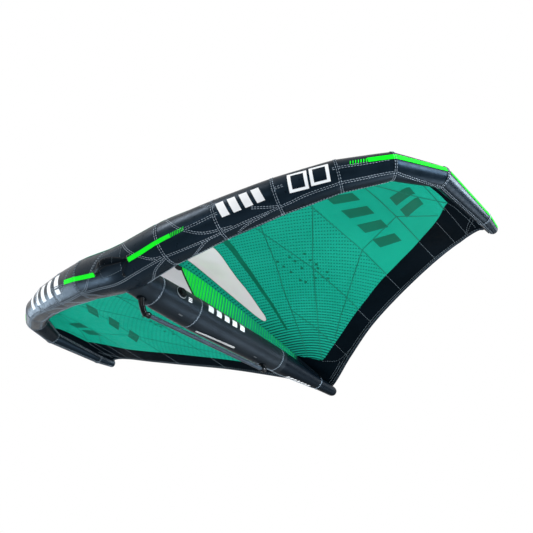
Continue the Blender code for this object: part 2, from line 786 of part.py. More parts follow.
def spine_height(y):
    line = canopy_spine()
    for (ya, za), (yb, zb) in zip(line[:-1], line[1:]):
        if ya <= y <= yb:
            return lerp(za, zb, (y - ya) / (yb - ya)) - CLOTH_THICKNESS - FIT_GAP
    return line[-1][1]


def strut_top(y):
    return -STRUT_DROP + strut_radius_at(y) + SEAT_GAP


def build_profile():
    top_start = PROFILE_TOP_START_SHARE * CHORD
    foot_start = PROFILE_FOOT_START_SHARE * CHORD
    end = PROFILE_END_SHARE * CHORD
    upper = [top_start]
    upper += [y for y, z in canopy_spine() if top_start < y < end] + [end]
    lower = [end]
    lower += [s * CHORD for s in reversed(RING_CHORD_SHARES) if foot_start < s * CHORD < end]
    lower += [foot_start]
    outline = [(y, spine_height(y)) for y in upper] + [(y, strut_top(y)) for y in lower]
    half = CLOTH_THICKNESS * HALF
    points = [Vector((half, y, z)) for y, z in outline] + [Vector((-half, y, z)) for y, z in outline]
    count = len(outline)
    faces = [tuple(range(count)), tuple(range(count + count - 1, count - 1, -1))]
    for k in range(count):
        n = (k + 1) % count
        faces.append((k, n, n + count, k + count))
    add_object("profile_panel", points, faces, "profile_green", smooth=False)

    # Rounded reinforcement that closes the front top corner of the profile panel
    start = top_start - PROFILE_TAB_LENGTH
    rows = (start, start + PROFILE_TAB_LENGTH * HALF, top_start - FIT_GAP)
    depths = PROFILE_TAB_DEPTH_SHARES
    tops = [spine_height(y) - SEAT_GAP for y in rows]
    ring = list(zip(rows, tops))
    ring += [(y, z - PROFILE_TAB_HEIGHT * d) for y, z, d in zip(rows[::-1], tops[::-1], depths[::-1])]
    wide = PROFILE_TAB_WIDTH * HALF
    count = len(ring)
    tab = [Vector((wide, y, z)) for y, z in ring]
    tab += [Vector((-wide, y, z)) for y, z in ring]
    faces = [tuple(range(count)), tuple(range(count + count - 1, count - 1, -1))]
    for k in range(count):
        n = (k + 1) % count
        faces.append((k, n, n + count, k + count))
    add_object("profile_front_tab", tab, faces, "webbing_black", smooth=False)


# Boom bar, end plugs and brackets
def tilted_ring(centre, direction, radius, segments):
    across = Vector((1.0, 0.0, 0.0))
    over = direction.cross(across).normalized()
    ring = []
    for s in range(segments):
        turn = math.tau * s / segments
        ring.append(centre + across * (radius * math.cos(turn)) + over * (radius * math.sin(turn)))
    return ring


def build_boom():
    inner_radius = BAR_RADIUS - BAR_WALL
    outer = []
    inner = []
    for k in range(BAR_RINGS):
        centre = BAR_FRONT_POINT.lerp(BAR_REAR_POINT, k / (BAR_RINGS - 1))
        outer.append(tilted_ring(centre, BAR_DIRECTION, BAR_RADIUS, BAR_SEGMENTS))
        inner.append(tilted_ring(centre, BAR_DIRECTION, inner_radius, BAR_SEGMENTS))
    shell("boom_bar", outer, inner, "bar_grey")
    stem = inner_radius - FIT_GAP - FIT_GAP
    ends = (("front", BAR_FRONT_POINT, -BAR_DIRECTION), ("rear", BAR_REAR_POINT, BAR_DIRECTION))
    for word, end, away in ends:
        rings = [
            tilted_ring(end - away * PLUG_DEPTH, away, stem, BAR_SEGMENTS),
            tilted_ring(end + away * FIT_GAP, away, stem, BAR_SEGMENTS),
            tilted_ring(end + away * FIT_GAP, away, BAR_RADIUS, BAR_SEGMENTS),
            tilted_ring(end + away * (FIT_GAP + PLUG_HEAD), away, BAR_RADIUS, BAR_SEGMENTS),
        ]
        points = [p for ring in rings for p in ring]
        faces = []
        for r in range(len(rings) - 1):
            for s in range(BAR_SEGMENTS):
                t = (s + 1) % BAR_SEGMENTS
                a = r * BAR_SEGMENTS
                b = a + BAR_SEGMENTS
                faces.append((a + s, a + t, b + t, b + s))
        faces.append(tuple(range(BAR_SEGMENTS)))
        last = (len(rings) - 1) * BAR_SEGMENTS
        faces.append(tuple(range(last, last + BAR_SEGMENTS)))
        add_object("boom_plug_%s" % word, points, faces, "bracket_black", smooth=False)


def solid_rod(name, start, end, radius_start, radius_end, segments, material):
    direction = (end - start).normalized()
    hint = Vector((1.0, 0.0, 0.0))
    if abs(direction.dot(hint)) > HALF:
        hint = Vector((0.0, 1.0, 0.0))
    radii = [radius_start, radius_end]
    points, faces = sweep([start, end], radii, radii, hint, segments)
    return add_object(name, points, faces, material)


def build_bracket(word, end, away, lead, bow, size_share):
    # The arm runs from inside the strut wall down to the socket, then the wall is cut away
    socket_a = end - away * (SOCKET_SETBACK + SOCKET_LENGTH)
    socket_b = end - away * SOCKET_SETBACK
    grip = socket_a.lerp(socket_b, HALF)
    foot_y = grip.y + away.y * lead
    foot = Vector((0.0, foot_y, -STRUT_DROP - strut_radius_at(foot_y) + ARM_SINK))
    path = []
    count = ARM_RINGS
    for k in range(count):
        share = k / (count - 1)
        point = foot.lerp(grip, share)
        lift = bow * math.sin(math.pi * share)
        path.append(point + away * lift)
    wides = [ARM_HALF_WIDTH * size_share * lerp(1.0, ARM_TAPER_SHARE, k / (count - 1)) for k in range(count)]
    deeps = [ARM_HALF_DEPTH * size_share] * count
    points, faces = sweep(path, wides, deeps, Vector((1.0, 0.0, 0.0)), BAR_SEGMENTS)
    name = "boom_bracket_%s" % word
    arm = add_object(name, points, faces, "bracket_black")
    wide = SOCKET_RADIUS
    socket = solid_rod("socket", socket_a, socket_b, wide, wide, BAR_SEGMENTS, "bracket_black")
    combine(arm, socket, "UNION")
    bore = BAR_RADIUS + FIT_GAP + FIT_GAP
    reach = away * SOCKET_LENGTH
    cutter = solid_rod("bore", socket_a - reach, socket_b + reach, bore, bore, BAR_SEGMENTS, "bracket_black")
    combine(arm, cutter, "DIFFERENCE")
    near = foot_y - SOCKET_LENGTH - SOCKET_LENGTH
    far = foot_y + SOCKET_LENGTH + SOCKET_LENGTH
    low = Vector((0.0, near, -STRUT_DROP))
    high = Vector((0.0, far, -STRUT_DROP))
    ra = strut_radius_at(near) + SEAT_GAP + SEAT_GAP
    rb = strut_radius_at(far) + SEAT_GAP + SEAT_GAP
    wall = solid_rod("wall", low, high, ra, rb, TUBE_SEGMENTS + TUBE_SEGMENTS, "bracket_black")
    combine(arm, wall, "DIFFERENCE")


# Front handle, its end tabs, the leash loop and its anchor tabs
def front_point(x, angle, stand):
    station = x / (NODE_SPAN_SHARES[1] * HALF_SPAN)
    centre, inward, upward, radius = axis_frame(station)
    turn = math.radians(angle)
    outward = -inward * math.cos(turn) - upward * math.sin(turn)
    return centre + outward * (radius + stand), outward


def curved_plate(name, x_middle, angle_middle, length, width, thickness, material):
    points = []
    columns = PLATE_ROWS
    rows = PLATE_ROWS
    for stand in (SEAT_GAP, SEAT_GAP + thickness):
        for c in range(columns):
            x = x_middle + length * (c / (columns - 1) - HALF)
            for r in range(rows):
                arc = width * (r / (rows - 1) - HALF)
                angle = angle_middle + math.degrees(arc / TUBE_RADIUS)
                points.append(front_point(x, angle, stand)[0])
    faces = []
    size = columns * rows
    for c in range(columns - 1):
        for r in range(rows - 1):
            a = c * rows + r
            b = a + rows
            faces.append((a, a + 1, b + 1, b))
            faces.append((a + size, b + size, b + 1 + size, a + 1 + size))
    rim = [c * rows for c in range(columns)]
    rim += [(columns - 1) * rows + r for r in range(1, rows)]
    rim += [c * rows + rows - 1 for c in range(columns - 2, -1, -1)]
    rim += [r for r in range(rows - 2, 0, -1)]
    for k in range(len(rim)):
        a = rim[k]
        b = rim[(k + 1) % len(rim)]
        faces.append((a, b, b + size, a + size))
    return add_object(name, points, faces, material)


def handle_foot_stand():
    return SEAT_GAP + HANDLE_TAB_THICKNESS + HANDLE_FOOT_GAP + GRIP_END_RADIUS


def build_handle():
    foot = handle_foot_stand()
    hinge = front_point(HANDLE_HALF_SPAN, HANDLE_ANGLE, foot)[0]
    hinge.x = 0.0
    path = []
    wides = []
    deeps = []
    count = HANDLE_RINGS
    for k in range(count):
        share = k / (count - 1)
        x = lerp(-HANDLE_HALF_SPAN, HANDLE_HALF_SPAN, share)
        arch = math.sin(math.pi * share) ** HANDLE_ARCH_POWER
        angle = lerp(HANDLE_ANGLE, HANDLE_ARCH_ANGLE, arch)
        stand = lerp(foot, HANDLE_STAND, arch)
        path.append(front_point(x, angle, stand)[0])
        swell = min(arch * GRIP_SWELL_SHARE, 1.0)
        wides.append(lerp(GRIP_END_RADIUS, GRIP_HALF_WIDTH, swell))
        deeps.append(lerp(GRIP_END_RADIUS, GRIP_HALF_DEPTH, swell))
    turn = math.radians(HANDLE_ARCH_ANGLE)
    hint = Vector((0.0, math.sin(turn), -math.cos(turn)))
    points, faces = sweep(path, wides, deeps, hint, BAR_SEGMENTS)
    add_object("front_handle", points, faces, "grip_black", origin=hinge)
    for side, word in ((1.0, "right"), (-1.0, "left")):
        middle = side * (HANDLE_HALF_SPAN + HANDLE_TAB_LENGTH * HALF * HALF)
        curved_plate("handle_tab_%s" % word, middle, HANDLE_ANGLE, HANDLE_TAB_LENGTH, HANDLE_TAB_WIDTH,
                     HANDLE_TAB_THICKNESS, "webbing_black")


def build_leash():
    stand_a = SEAT_GAP + HANDLE_TAB_THICKNESS + LOOP_FOOT_GAP + LOOP_RADIUS
    stand_b = SEAT_GAP + ANCHOR_THICKNESS + LOOP_FOOT_GAP + LOOP_RADIUS
    first, out_a = front_point(LOOP_FIRST_SPAN, LOOP_FIRST_ANGLE, stand_a)
    second, out_b = front_point(LOOP_SECOND_SPAN, LOOP_SECOND_ANGLE, stand_b)
    out = (out_a + out_b).normalized()
    path = []
    count = LOOP_RINGS
    for k in range(count):
        share = k / (count - 1)
        rise = math.sin(math.pi * share) ** HANDLE_ARCH_POWER
        path.append(first.lerp(second, share) + out * (LOOP_ARCH * rise))
    radii = [LOOP_RADIUS] * count
    hint = (second - first).cross(out).normalized()
    points, faces = sweep(path, radii, radii, hint, CORD_SEGMENTS)
    add_object("leash_loop", points, faces, "cord_black", origin=(first + second) * HALF)
    curved_plate("leash_tab_low", LOOP_SECOND_SPAN, LOOP_SECOND_ANGLE, ANCHOR_WIDTH, ANCHOR_LENGTH,
                 ANCHOR_THICKNESS, "webbing_black")


# Inflation valve: flanged base, and a cap on a hinge
def lathe(centre, normal, side_hint, profile, segments):
    across = (side_hint - normal * side_hint.dot(normal)).normalized()
    over = normal.cross(across)
    points = []
    for radius, height in profile:
        for s in range(segments):
            turn = math.tau * s / segments
            arm = across * (radius * math.cos(turn)) + over * (radius * math.sin(turn))
            points.append(centre + normal * height + arm)
    faces = []
    count = len(profile)
    for r in range(count):
        n = (r + 1) % count
        for s in range(segments):
            t = (s + 1) % segments
            faces.append((r * segments + s, r * segments + t, n * segments + t, n * segments + s))
    return points, faces


def build_valve():
    y = VALVE_CHORD_SHARE * CHORD
    turn = math.radians(VALVE_ANGLE)
    normal = Vector((math.cos(turn), 0.0, math.sin(turn)))
    surface = Vector((0.0, y, -STRUT_DROP)) + normal * strut_radius_at(y)
    aft = Vector((0.0, 1.0, 0.0))
    top = VALVE_FLANGE_HEIGHT + VALVE_NECK_HEIGHT
    profile = (
        (VALVE_BORE_RADIUS, -VALVE_SINK),
        (VALVE_FLANGE_RADIUS, -VALVE_SINK),
        (VALVE_FLANGE_RADIUS, VALVE_FLANGE_HEIGHT),
        (VALVE_NECK_RADIUS, VALVE_FLANGE_HEIGHT),
        (VALVE_NECK_RADIUS, top),
        (VALVE_BORE_RADIUS, top),
    )
    points, faces = lathe(surface, normal, aft, profile, VALVE_SEGMENTS)
    base = add_object("valve_base", points, faces, "valve_black", smooth=False)
    near = Vector((0.0, y - STRUT_RADIUS, -STRUT_DROP))
    far = Vector((0.0, y + STRUT_RADIUS, -STRUT_DROP))
    ra = strut_radius_at(near.y) + SEAT_GAP
    rb = strut_radius_at(far.y) + SEAT_GAP
    wall = solid_rod("wall", near, far, ra, rb, TUBE_SEGMENTS + TUBE_SEGMENTS, "valve_black")
    combine(base, wall, "DIFFERENCE")

    seat = surface + normal * (top + FIT_GAP)
    hinge = seat + aft * CAP_HINGE_REACH
    across = normal.cross(aft).normalized()
    strap = CAP_STRAP_WIDTH * HALF
    outline = []
    steps = VALVE_SEGMENTS
    reach = math.asin(strap / CAP_RADIUS)
    for s in range(steps + 1):
        angle = lerp(reach, math.tau - reach, s / steps)
        outline.append(aft * (CAP_RADIUS * math.cos(angle)) + across * (CAP_RADIUS * math.sin(angle)))
    outline.append(aft * CAP_HINGE_REACH - across * strap)
    outline.append(aft * CAP_HINGE_REACH + across * strap)
    points = [seat + p for p in outline] + [seat + p + normal * CAP_HEIGHT for p in outline]
    count = len(outline)
    faces = [tuple(range(count)), tuple(range(count + count - 1, count - 1, -1))]
    for k in range(count):
        n = (k + 1) % count
        faces.append((k, n, n + count, k + count))
    add_object("valve_cap", points, faces, "valve_black", smooth=False, origin=hinge)
    lug_low = surface + aft * (CAP_HINGE_REACH + FIT_GAP) + normal * (VALVE_FLANGE_HEIGHT + FIT_GAP)
    lug = []
    depth = VALVE_FLANGE_RADIUS - CAP_HINGE_REACH - FIT_GAP - FIT_GAP
    height = VALVE_NECK_HEIGHT - ANCHOR_DROP
    for lift in (0.0, height):
        for forward, sideways in ((0.0, -strap), (depth, -strap), (depth, strap), (0.0, strap)):
            lug.append(lug_low + aft * forward + across * sideways + normal * lift)
    faces = [(0, 1, 2, 3), (7, 6, 5, 4), (0, 4, 5, 1), (1, 5, 6, 2), (2, 6, 7, 3), (3, 7, 4, 0)]
    add_object("valve_cap_anchor", lug, faces, "valve_black", smooth=False)


def build_materials():
    for name, (colour, roughness, metallic, alpha) in MATERIALS.items():
        material = bpy.data.materials.new(name)
        material.use_nodes = True
        node = material.node_tree.nodes["Principled BSDF"]
        node.inputs["Base Color"].default_value = (colour[0], colour[1], colour[2], 1.0)
        node.inputs["Roughness"].default_value = roughness
        node.inputs["Metallic"].default_value = metallic
        node.inputs["Alpha"].default_value = alpha


def main():
    for old in list(bpy.data.objects):
        bpy.data.objects.remove(old)
    build_materials()
    build_leading_edge()
    build_strut()
    build_middle_canopy()
    build_outer_canopy()
    build_profile()
    build_boom()
    front_sizes = (FRONT_ARM_LEAD, FRONT_ARM_BOW, FRONT_ARM_SIZE_SHARE)
    rear_sizes = (REAR_ARM_LEAD, REAR_ARM_BOW, REAR_ARM_SIZE_SHARE)
    build_bracket("front", BAR_FRONT_POINT, -BAR_DIRECTION, *front_sizes)
    build_bracket("rear", BAR_REAR_POINT, BAR_DIRECTION, *rear_sizes)
    build_handle()
    build_leash()
    build_valve()


main()
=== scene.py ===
"""Looks of a wingfoil wing: cloth, film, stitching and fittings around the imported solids."""
import math

import bpy
import numpy as np
from mathutils import Matrix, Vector
from mathutils.geometry import delaunay_2d_cdt


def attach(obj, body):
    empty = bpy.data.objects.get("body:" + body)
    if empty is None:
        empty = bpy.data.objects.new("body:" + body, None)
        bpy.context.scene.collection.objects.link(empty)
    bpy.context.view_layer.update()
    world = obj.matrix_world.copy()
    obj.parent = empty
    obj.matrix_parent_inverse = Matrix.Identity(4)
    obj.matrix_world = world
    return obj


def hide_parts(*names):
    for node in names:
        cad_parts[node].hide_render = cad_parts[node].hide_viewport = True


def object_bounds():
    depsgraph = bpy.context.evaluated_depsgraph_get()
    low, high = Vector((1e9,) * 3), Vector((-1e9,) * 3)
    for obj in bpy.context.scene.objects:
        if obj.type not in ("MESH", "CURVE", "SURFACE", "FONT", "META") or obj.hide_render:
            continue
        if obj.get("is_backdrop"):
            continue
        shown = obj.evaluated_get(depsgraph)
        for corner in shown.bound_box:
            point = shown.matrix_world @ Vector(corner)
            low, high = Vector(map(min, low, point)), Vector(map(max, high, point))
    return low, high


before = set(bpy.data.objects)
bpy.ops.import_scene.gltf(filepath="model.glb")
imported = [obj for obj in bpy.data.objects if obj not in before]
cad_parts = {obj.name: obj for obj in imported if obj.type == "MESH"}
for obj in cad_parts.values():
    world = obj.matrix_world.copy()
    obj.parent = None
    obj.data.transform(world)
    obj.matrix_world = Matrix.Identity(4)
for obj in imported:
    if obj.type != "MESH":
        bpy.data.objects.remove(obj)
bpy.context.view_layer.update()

# Sizes of the wing in metres; the tables repeat the shape of the solids
HALF_SPAN, CHORD = 1.5, 1.93
TUBE_R, STRUT_R, STRUT_DROP = 0.12, 0.085, 0.036
ORIGIN = np.array([0.0, 0.656, -0.17139])
EYE = np.array([2.47843974, -2.01631572, -1.90802334])
SPAN = np.array([0, 0.188, 0.3765, 0.5645, 0.7465, 0.888, 0.983, 1.002, 1.0]) * HALF_SPAN
SWEEP = np.array([0, 0.005, 0.037, 0.081, 0.136, 0.205, 0.328, 0.556, 0.629]) * CHORD
RISE = np.array([0, 0.031, 0.072, 0.115, 0.155, 0.185, 0.199, 0.2, 0.202]) * HALF_SPAN
RADIUS = np.array([1.0, 0.933, 0.842, 0.767, 0.667, 0.567, 0.442, 0.308, 0.217]) * TUBE_R
ATTACH = np.array([60.0, 45, 30, 20, 15, 10, 5, 0, 0])
EDGE_X = np.array([0, 0.188, 0.3765, 0.5645, 0.7465, 0.867, 0.933, 0.968, 0.984]) * HALF_SPAN
EDGE_Y = np.array([1.0, 0.887, 0.779, 0.695, 0.637, 0.62, 0.619, 0.6295, 0.6425]) * CHORD
EDGE_Z = np.array([0.0033, 0.044, 0.0813, 0.1133, 0.1533, 0.1893, 0.2033, 0.204, 0.2027]) * HALF_SPAN
CAMBER = np.array([0.07, 0.0567, 0.0427, 0.0267, 0.02, 0.0227, 0.0147, 0.0067, 0.0027]) * HALF_SPAN
RING_Y = np.array([0.1145, 0.271, 0.671, 0.916, 0.998]) * CHORD
RING_R = np.array([0.988, 1.0, 0.835, 0.447, 0.376]) * STRUT_R
SLANTED = np.array([0.7, 1, 1, 1, 0])
SAG_Y = (0.02, 0.221, 0.523, 0.85, 1.295, 1.6, 1.88)
SAG = (0.0, 0.009, 0.015, 0.013, 0.008, 0.004, 0.0)
MIDDLE_ROUND, SPINE_RISE, BILLOW = 0.25, 0.024, 0.045
SWELL, PINCH = 0.002, 0.0022
CLOTH = 0.0006
LAST = 8
# Distances from a ring seam at which a skin has rings of points
CLOSE = np.array([0.0, 0.003, 0.007, 0.012, 0.02, 0.035])
# Rough width of a panel and length of the chord, for even spacing on the flat cloth
WIDE, DEEP = 0.28, 1.5
# Height and thickness of a print on the tubes, and of one that shows through the canopy
PRINT = (0.0006, 0.0006)
INK = (-0.0007, 0.0014)
SIDES = (1.0, -1.0)
BESIDE = (-1.0, 1.0)
# Width and height of a fine stitch
FINE = (0.0014, 0.0008)

# Seams and prints: tube places are (panels from the middle, degrees down from the front),
# canopy places (panels, chord share), strut places (distance aft, degrees up from the right)
BAND_LINE = ((0.0, 0.771), (0.18, 0.811), (0.3, 0.842), (0.444, 0.88), (0.788, 0.884), (1.168, 0.884),
             (1.733, 0.876), (2.378, 0.859), (2.958, 0.83), (3.58, 0.807), (4.224, 0.767), (5.098, 0.667),
             (5.869, 0.445), (5.83, 0.32), (5.76, 0.2), (5.67, 0.08), (5.61, 0.0))
BAND_CORNER = 12
WINDOW_LINE = ((0.25, 0.07), (1.16, 0.07), (1.05, 0.15), (1.008, 0.19), (0.688, 0.32), (0.553, 0.422),
               (0.387, 0.509), (0.322, 0.55), (0.235, 0.566), (0.165, 0.558), (0.137, 0.52), (0.137, 0.481),
               (0.138, 0.324), (0.149, 0.249), (0.188, 0.172))
TIP_LINE = ((5.2, 1.001), (5.8, 0.984), (6.17, 0.964), (6.45, 0.93), (6.72, 0.875), (7.0, 0.78), (7.2, 0.66),
            (7.35, 0.53), (7.42, 0.4), (7.46, 0.2), (7.48, 0.0))
CLOTH_SEAMS = (
    ((2.2, 0.01), (2.155, 0.504), (2.15, 0.744), (2.12, 0.866)),
    ((3.29, 0.01), (3.21, 0.573), (3.18, 0.82)),
    ((4.33, 0.01), (4.28, 0.293), (4.265, 0.478), (4.225, 0.767)),
    ((5.6, 0.14), (5.58, 0.217), (5.575, 0.383), (5.53, 0.57)),
    ((4.35, 0.06), (4.575, 0.174), (4.89, 0.322), (5.2, 0.396), (5.85, 0.447)),
    ((2.2, 0.01), (2.205, 0.134), (1.67, 0.37), (1.24, 0.509), (0.95, 0.609), (0.545, 0.73),
     (0.265, 0.801)),
    ((3.265, 0.123), (2.355, 0.445), (1.765, 0.611), (1.37, 0.703), (0.81, 0.809), (0.425, 0.878)),
    ((5.165, 0.638), (4.265, 0.481), (3.21, 0.573), (2.355, 0.735), (1.62, 0.822), (1.135, 0.868)),
    ((0.95, 0.609), (1.01, 0.753), (0.99, 0.88)))
DARK_STRIPE = ((1.48, 0.05), (1.42, 0.12), (1.3, 0.2), (1.15, 0.28), (1.00, 0.37), (0.85, 0.447),
               (0.71, 0.528), (0.555, 0.6), (0.43, 0.658))
FLECKS = ((2.00, 0.38), (1.725, 0.37), (1.72, 0.41), (1.73, 0.455), (2.01, 0.415), (2.29, 0.405),
          (1.98, 0.47), (2.26, 0.455), (2.275, 0.495), (1.72, 0.52), (1.77, 0.545), (2.23, 0.52),
          (2.3, 0.57), (2.2, 0.605), (2.14, 0.58), (2.01, 0.56))
BAND_ROWS = (
    ((1.005, 0.885), (0.975, 0.984)), ((2.1, 0.868), (2.08, 0.984)), ((3.16, 0.82), (3.14, 0.984)),
    ((4.2, 0.776), (4.18, 0.984)), ((4.95, 0.7), (4.95, 0.984)), ((5.61, 0.53), (5.63, 0.984)),
    ((6.7, 0.3), (6.662, 0.449), (6.4, 0.66), (6.139, 0.788), (5.62, 0.943), (5.3, 0.975)),
    ((6.8, 0.36), (6.545, 0.658), (6.1, 0.85), (5.662, 0.948)),
    ((0.4, 0.88), (0.731, 0.951), (1.181, 0.972)), ((0.727, 0.962), (0.147, 0.965)),
    ((5.87, 0.45), (6.3, 0.66), (6.45, 0.85)))
TUBE_SEAMS = (
    ((0.0, 70), (0.49, 68.5), (0.93, 69.5), (1.44, 74), (1.97, 76.8), (2.38, 73.5), (2.89, 72.8),
     (3.17, 68.7), (3.48, 62), (3.99, 61.5), (4.42, 60.3), (4.86, 59.5), (5.19, 69.2), (5.58, 81.7),
     (5.9, 94), (6.2, 100), (6.93, 103), (7.95, 106)),
    ((0.3, 126), (0.9, 120), (2.0, 112), (3.0, 108), (4.0, 110), (4.95, 118)),
    ((1.5, 26), (1.74, 25), (2.07, 21.5)), ((2.96, 14.0), (3.16, 13.0)),
    ((3.92, 9.0), (4.52, 9.0), (4.9, 5.6)))
TUBE_ARCS = (
    ((0.23, -32.3), (0.43, 9.6), (0.6, 35.7), (0.78, 57.5), (0.94, 66.0)),
    ((1.14, -44.5), (1.36, 9.8), (1.54, 35.5), (1.74, 55.2), (1.98, 65.4), (2.2, 71.0)),
    ((0.41, 129.5), (0.67, 92.1), (0.88, 78.5), (0.99, 74.0)),
    ((1.3, 122.0), (1.35, 114.1), (1.64, 85.0), (1.84, 76.5)),
    ((2.22, 102.4), (2.41, 85.5), (2.8, 76.0)), ((2.58, 42.0), (2.98, 68.0)),
    ((1.8, -30.0), (1.87, -23.5), (2.05, 0.0)))


def unit(v):
    """Vectors of length one; a null vector stays null."""
    return v / np.maximum(np.linalg.norm(v, axis=-1, keepdims=True), 1e-12)


def tangents(p):
    """The direction of a line of points at each of them."""
    return unit(np.gradient(p, axis=0))


NODES = np.stack([SPAN, SWEEP, RISE], 1)
STEPS = unit(NODES[1:] - NODES[:-1])
TANGENT = unit(np.vstack([[1.0, 0.0, 0.0], STEPS[:-1] + STEPS[1:], STEPS[-1]]))
INWARD = unit(np.cross([0.0, 0.0, 1.0], TANGENT))
UPWARD = unit(np.cross(TANGENT, INWARD))
PANEL = np.linalg.norm(NODES[1:] - NODES[:-1], axis=1)


# Surfaces: each gives points at two coordinates and a lift above the skin
def tube(s, f, lift=0.0, swollen=True):
    """The leading edge skin at panel count s and at f degrees down from the front."""
    s, f, lift = np.broadcast_arrays(np.asarray(s, float), np.asarray(f, float), np.asarray(lift, float))
    at = np.minimum(np.abs(s), LAST)
    k = np.minimum(at.astype(int), LAST - 1)
    t = at - k
    turn = np.radians(f + 180.0)
    out = np.zeros(s.shape + (3,))
    extra = lift.copy()
    if swollen:
        near = np.where(k == 0, 1.0 - t, np.minimum(t, 1.0 - t)) * PANEL[k]
        size = RADIUS[k] / TUBE_R
        pucker = np.exp(-near / 0.016) * np.sin(turn * 34.0 + k * 2.0) * 0.0006
        extra = extra + (SWELL * (1.0 - np.exp(-near / 0.035)) - PINCH * np.exp(-(near / 0.007) ** 2)) * size
        extra = extra + pucker * size
    for j, w in ((k, 1.0 - t), (k + 1, t)):
        arm = np.cos(turn)[..., None] * INWARD[j] + np.sin(turn)[..., None] * UPWARD[j]
        out += w[..., None] * (NODES[j] + (RADIUS[j] + extra)[..., None] * arm)
    m = MIDDLE_ROUND
    ease = np.where(at < m, m / 2 + at * at / (2 * m) - at, 0.0)
    out[..., 1:] += ease[..., None] * (NODES[1] - NODES[0])[1:]
    out[..., 0] *= np.where(s < 0.0, -1.0, 1.0)
    return out


def plain_tube(s, f, lift=0.0):
    """The leading edge as the solids have it, without swell and puckers."""
    return tube(s, f, lift, False)


def front_point(x, f, lift):
    """A point of the unswollen tube by its distance x from the middle."""
    return plain_tube(np.asarray(x) / SPAN[1], f, lift)


def slant(b):
    """How far ahead of its nominal place a ring seam of the strut lies at turn b."""
    return 0.037 - 0.011 * np.sin(np.radians(b))


def strut(y, b, lift=0.0, swollen=True):
    """The strut skin at distance y aft of the middle tube's axis and at b degrees up from +X."""
    y, b, lift = np.broadcast_arrays(np.asarray(y, float), np.asarray(b, float), np.asarray(lift, float))
    radius = np.interp(y, [0.0, *RING_Y], [0.86 * STRUT_R, *RING_R])
    turn = np.radians(b)
    if swollen:
        near = np.min(np.abs(y[..., None] - RING_Y + slant(b)[..., None] * SLANTED), axis=-1)
        radius = radius + SWELL * (1 - np.exp(-near / 0.03)) - PINCH * np.exp(-(near / 0.006) ** 2)
        radius = radius + np.exp(-near / 0.014) * np.sin(turn * 26.0) * 0.0005
    # The underside sags a little between the sleeve and the end cap
    radius = radius + np.interp(y, SAG_Y, SAG) * np.clip(-np.sin(turn), 0.0, 1.0) ** 1.5
    reach = radius + lift
    return np.stack([reach * np.cos(turn), y, -STRUT_DROP + reach * np.sin(turn)], -1)


def smooth(table, s, level=False):
    """A smooth curve through a table of values; level makes it flat at the middle of the wing."""
    slope = np.gradient(table)
    if level:
        slope[0] = 0.0
    k = np.clip(s.astype(int), 0, LAST - 1)
    t = s - k
    a, b, c, d = table[k], table[k + 1], slope[k], slope[k + 1]
    share = 3 * t**2 - 2 * t**3
    return a + share * (b - a) + (t**3 - 2 * t**2 + t) * c + (t**3 - t**2) * d


def canopy(s, v, lift=0.0):
    """The middle of the canopy cloth at panel count s and chord share v."""
    s, v = np.broadcast_arrays(np.asarray(s, float), np.asarray(v, float))
    at = np.minimum(np.abs(s), LAST - 1e-6)
    front = tube(at, np.interp(at, range(LAST + 1), ATTACH) - 180.0, 0.0006, False)
    rear = np.stack([smooth(EDGE_X, at), smooth(EDGE_Y, at), smooth(EDGE_Z, at, True)], -1)
    p = front + (rear - front) * v[..., None]
    p[..., 2] += smooth(CAMBER, at, True) * np.sin(np.pi * np.clip(v, 0.0, 1.0) ** 0.6)
    # The cloth rises a little beside the profile panel, most of all near the front
    swell = (1.0 - np.exp(-v / 0.05)) * (1.0 - v)
    ridge = SPINE_RISE * np.exp(-((v - 0.2) / 0.17) ** 2) * np.exp(-(at / 0.9) ** 2)
    billow = BILLOW * (1.0 - np.exp(-(at / 0.18) ** 2)) * np.exp(-at**2 - ((v - 0.2) / 0.3) ** 2)
    p[..., 2] += swell * (ridge + billow)
    p[..., 0] *= np.where(s < 0.0, -1.0, 1.0)
    if np.any(lift):
        p = p + canopy_normal(s, v) * np.asarray(lift)[..., None]
    return p


def canopy_normal(s, v):
    e = 1e-3
    along = canopy(s + e, v) - canopy(s - e, v)
    aft = canopy(s, np.minimum(v + e, 1.0)) - canopy(s, np.maximum(v - e, 0.0))
    return unit(np.cross(along, aft))


def outward(surface, u, v):
    """Normals of a surface; the canopy's point up."""
    if surface is canopy:
        return canopy_normal(u, v)
    return unit(surface(u, v, 0.01) - surface(u, v, 0.0))


# Lines on the surfaces
def curve(points, steps=24):
    """A smooth line through points with any number of coordinates."""
    p = np.asarray(points, float)
    if len(p) == 2:
        return p[0] + (p[1] - p[0]) * np.linspace(0, 1, steps * 2)[:, None]
    q = np.vstack([2 * p[0] - p[1], p, 2 * p[-1] - p[-2]])
    out = []
    for k in range(1, len(q) - 2):
        t = np.linspace(0, 1, steps, endpoint=False)[:, None]
        a, b, c, d = q[k - 1], q[k], q[k + 1], q[k + 2]
        bend, twist = 2 * a - 5 * b + 4 * c - d, 3 * b - a - 3 * c + d
        out.append(0.5 * (2 * b + (c - a) * t + bend * t**2 + twist * t**3))
    return np.vstack([*out, p[-1:]])


def placed(surface, q, side):
    """Points and outward normals at the surface coordinates q, on one side of the wing."""
    u, v = q[:, 0] * side, q[:, 1]
    return surface(u, v), outward(surface, u, v)


def on(surface, points, side=1.0, steps=24):
    """Points and outward normals along a smooth line on a surface."""
    return placed(surface, curve(points, steps), side)


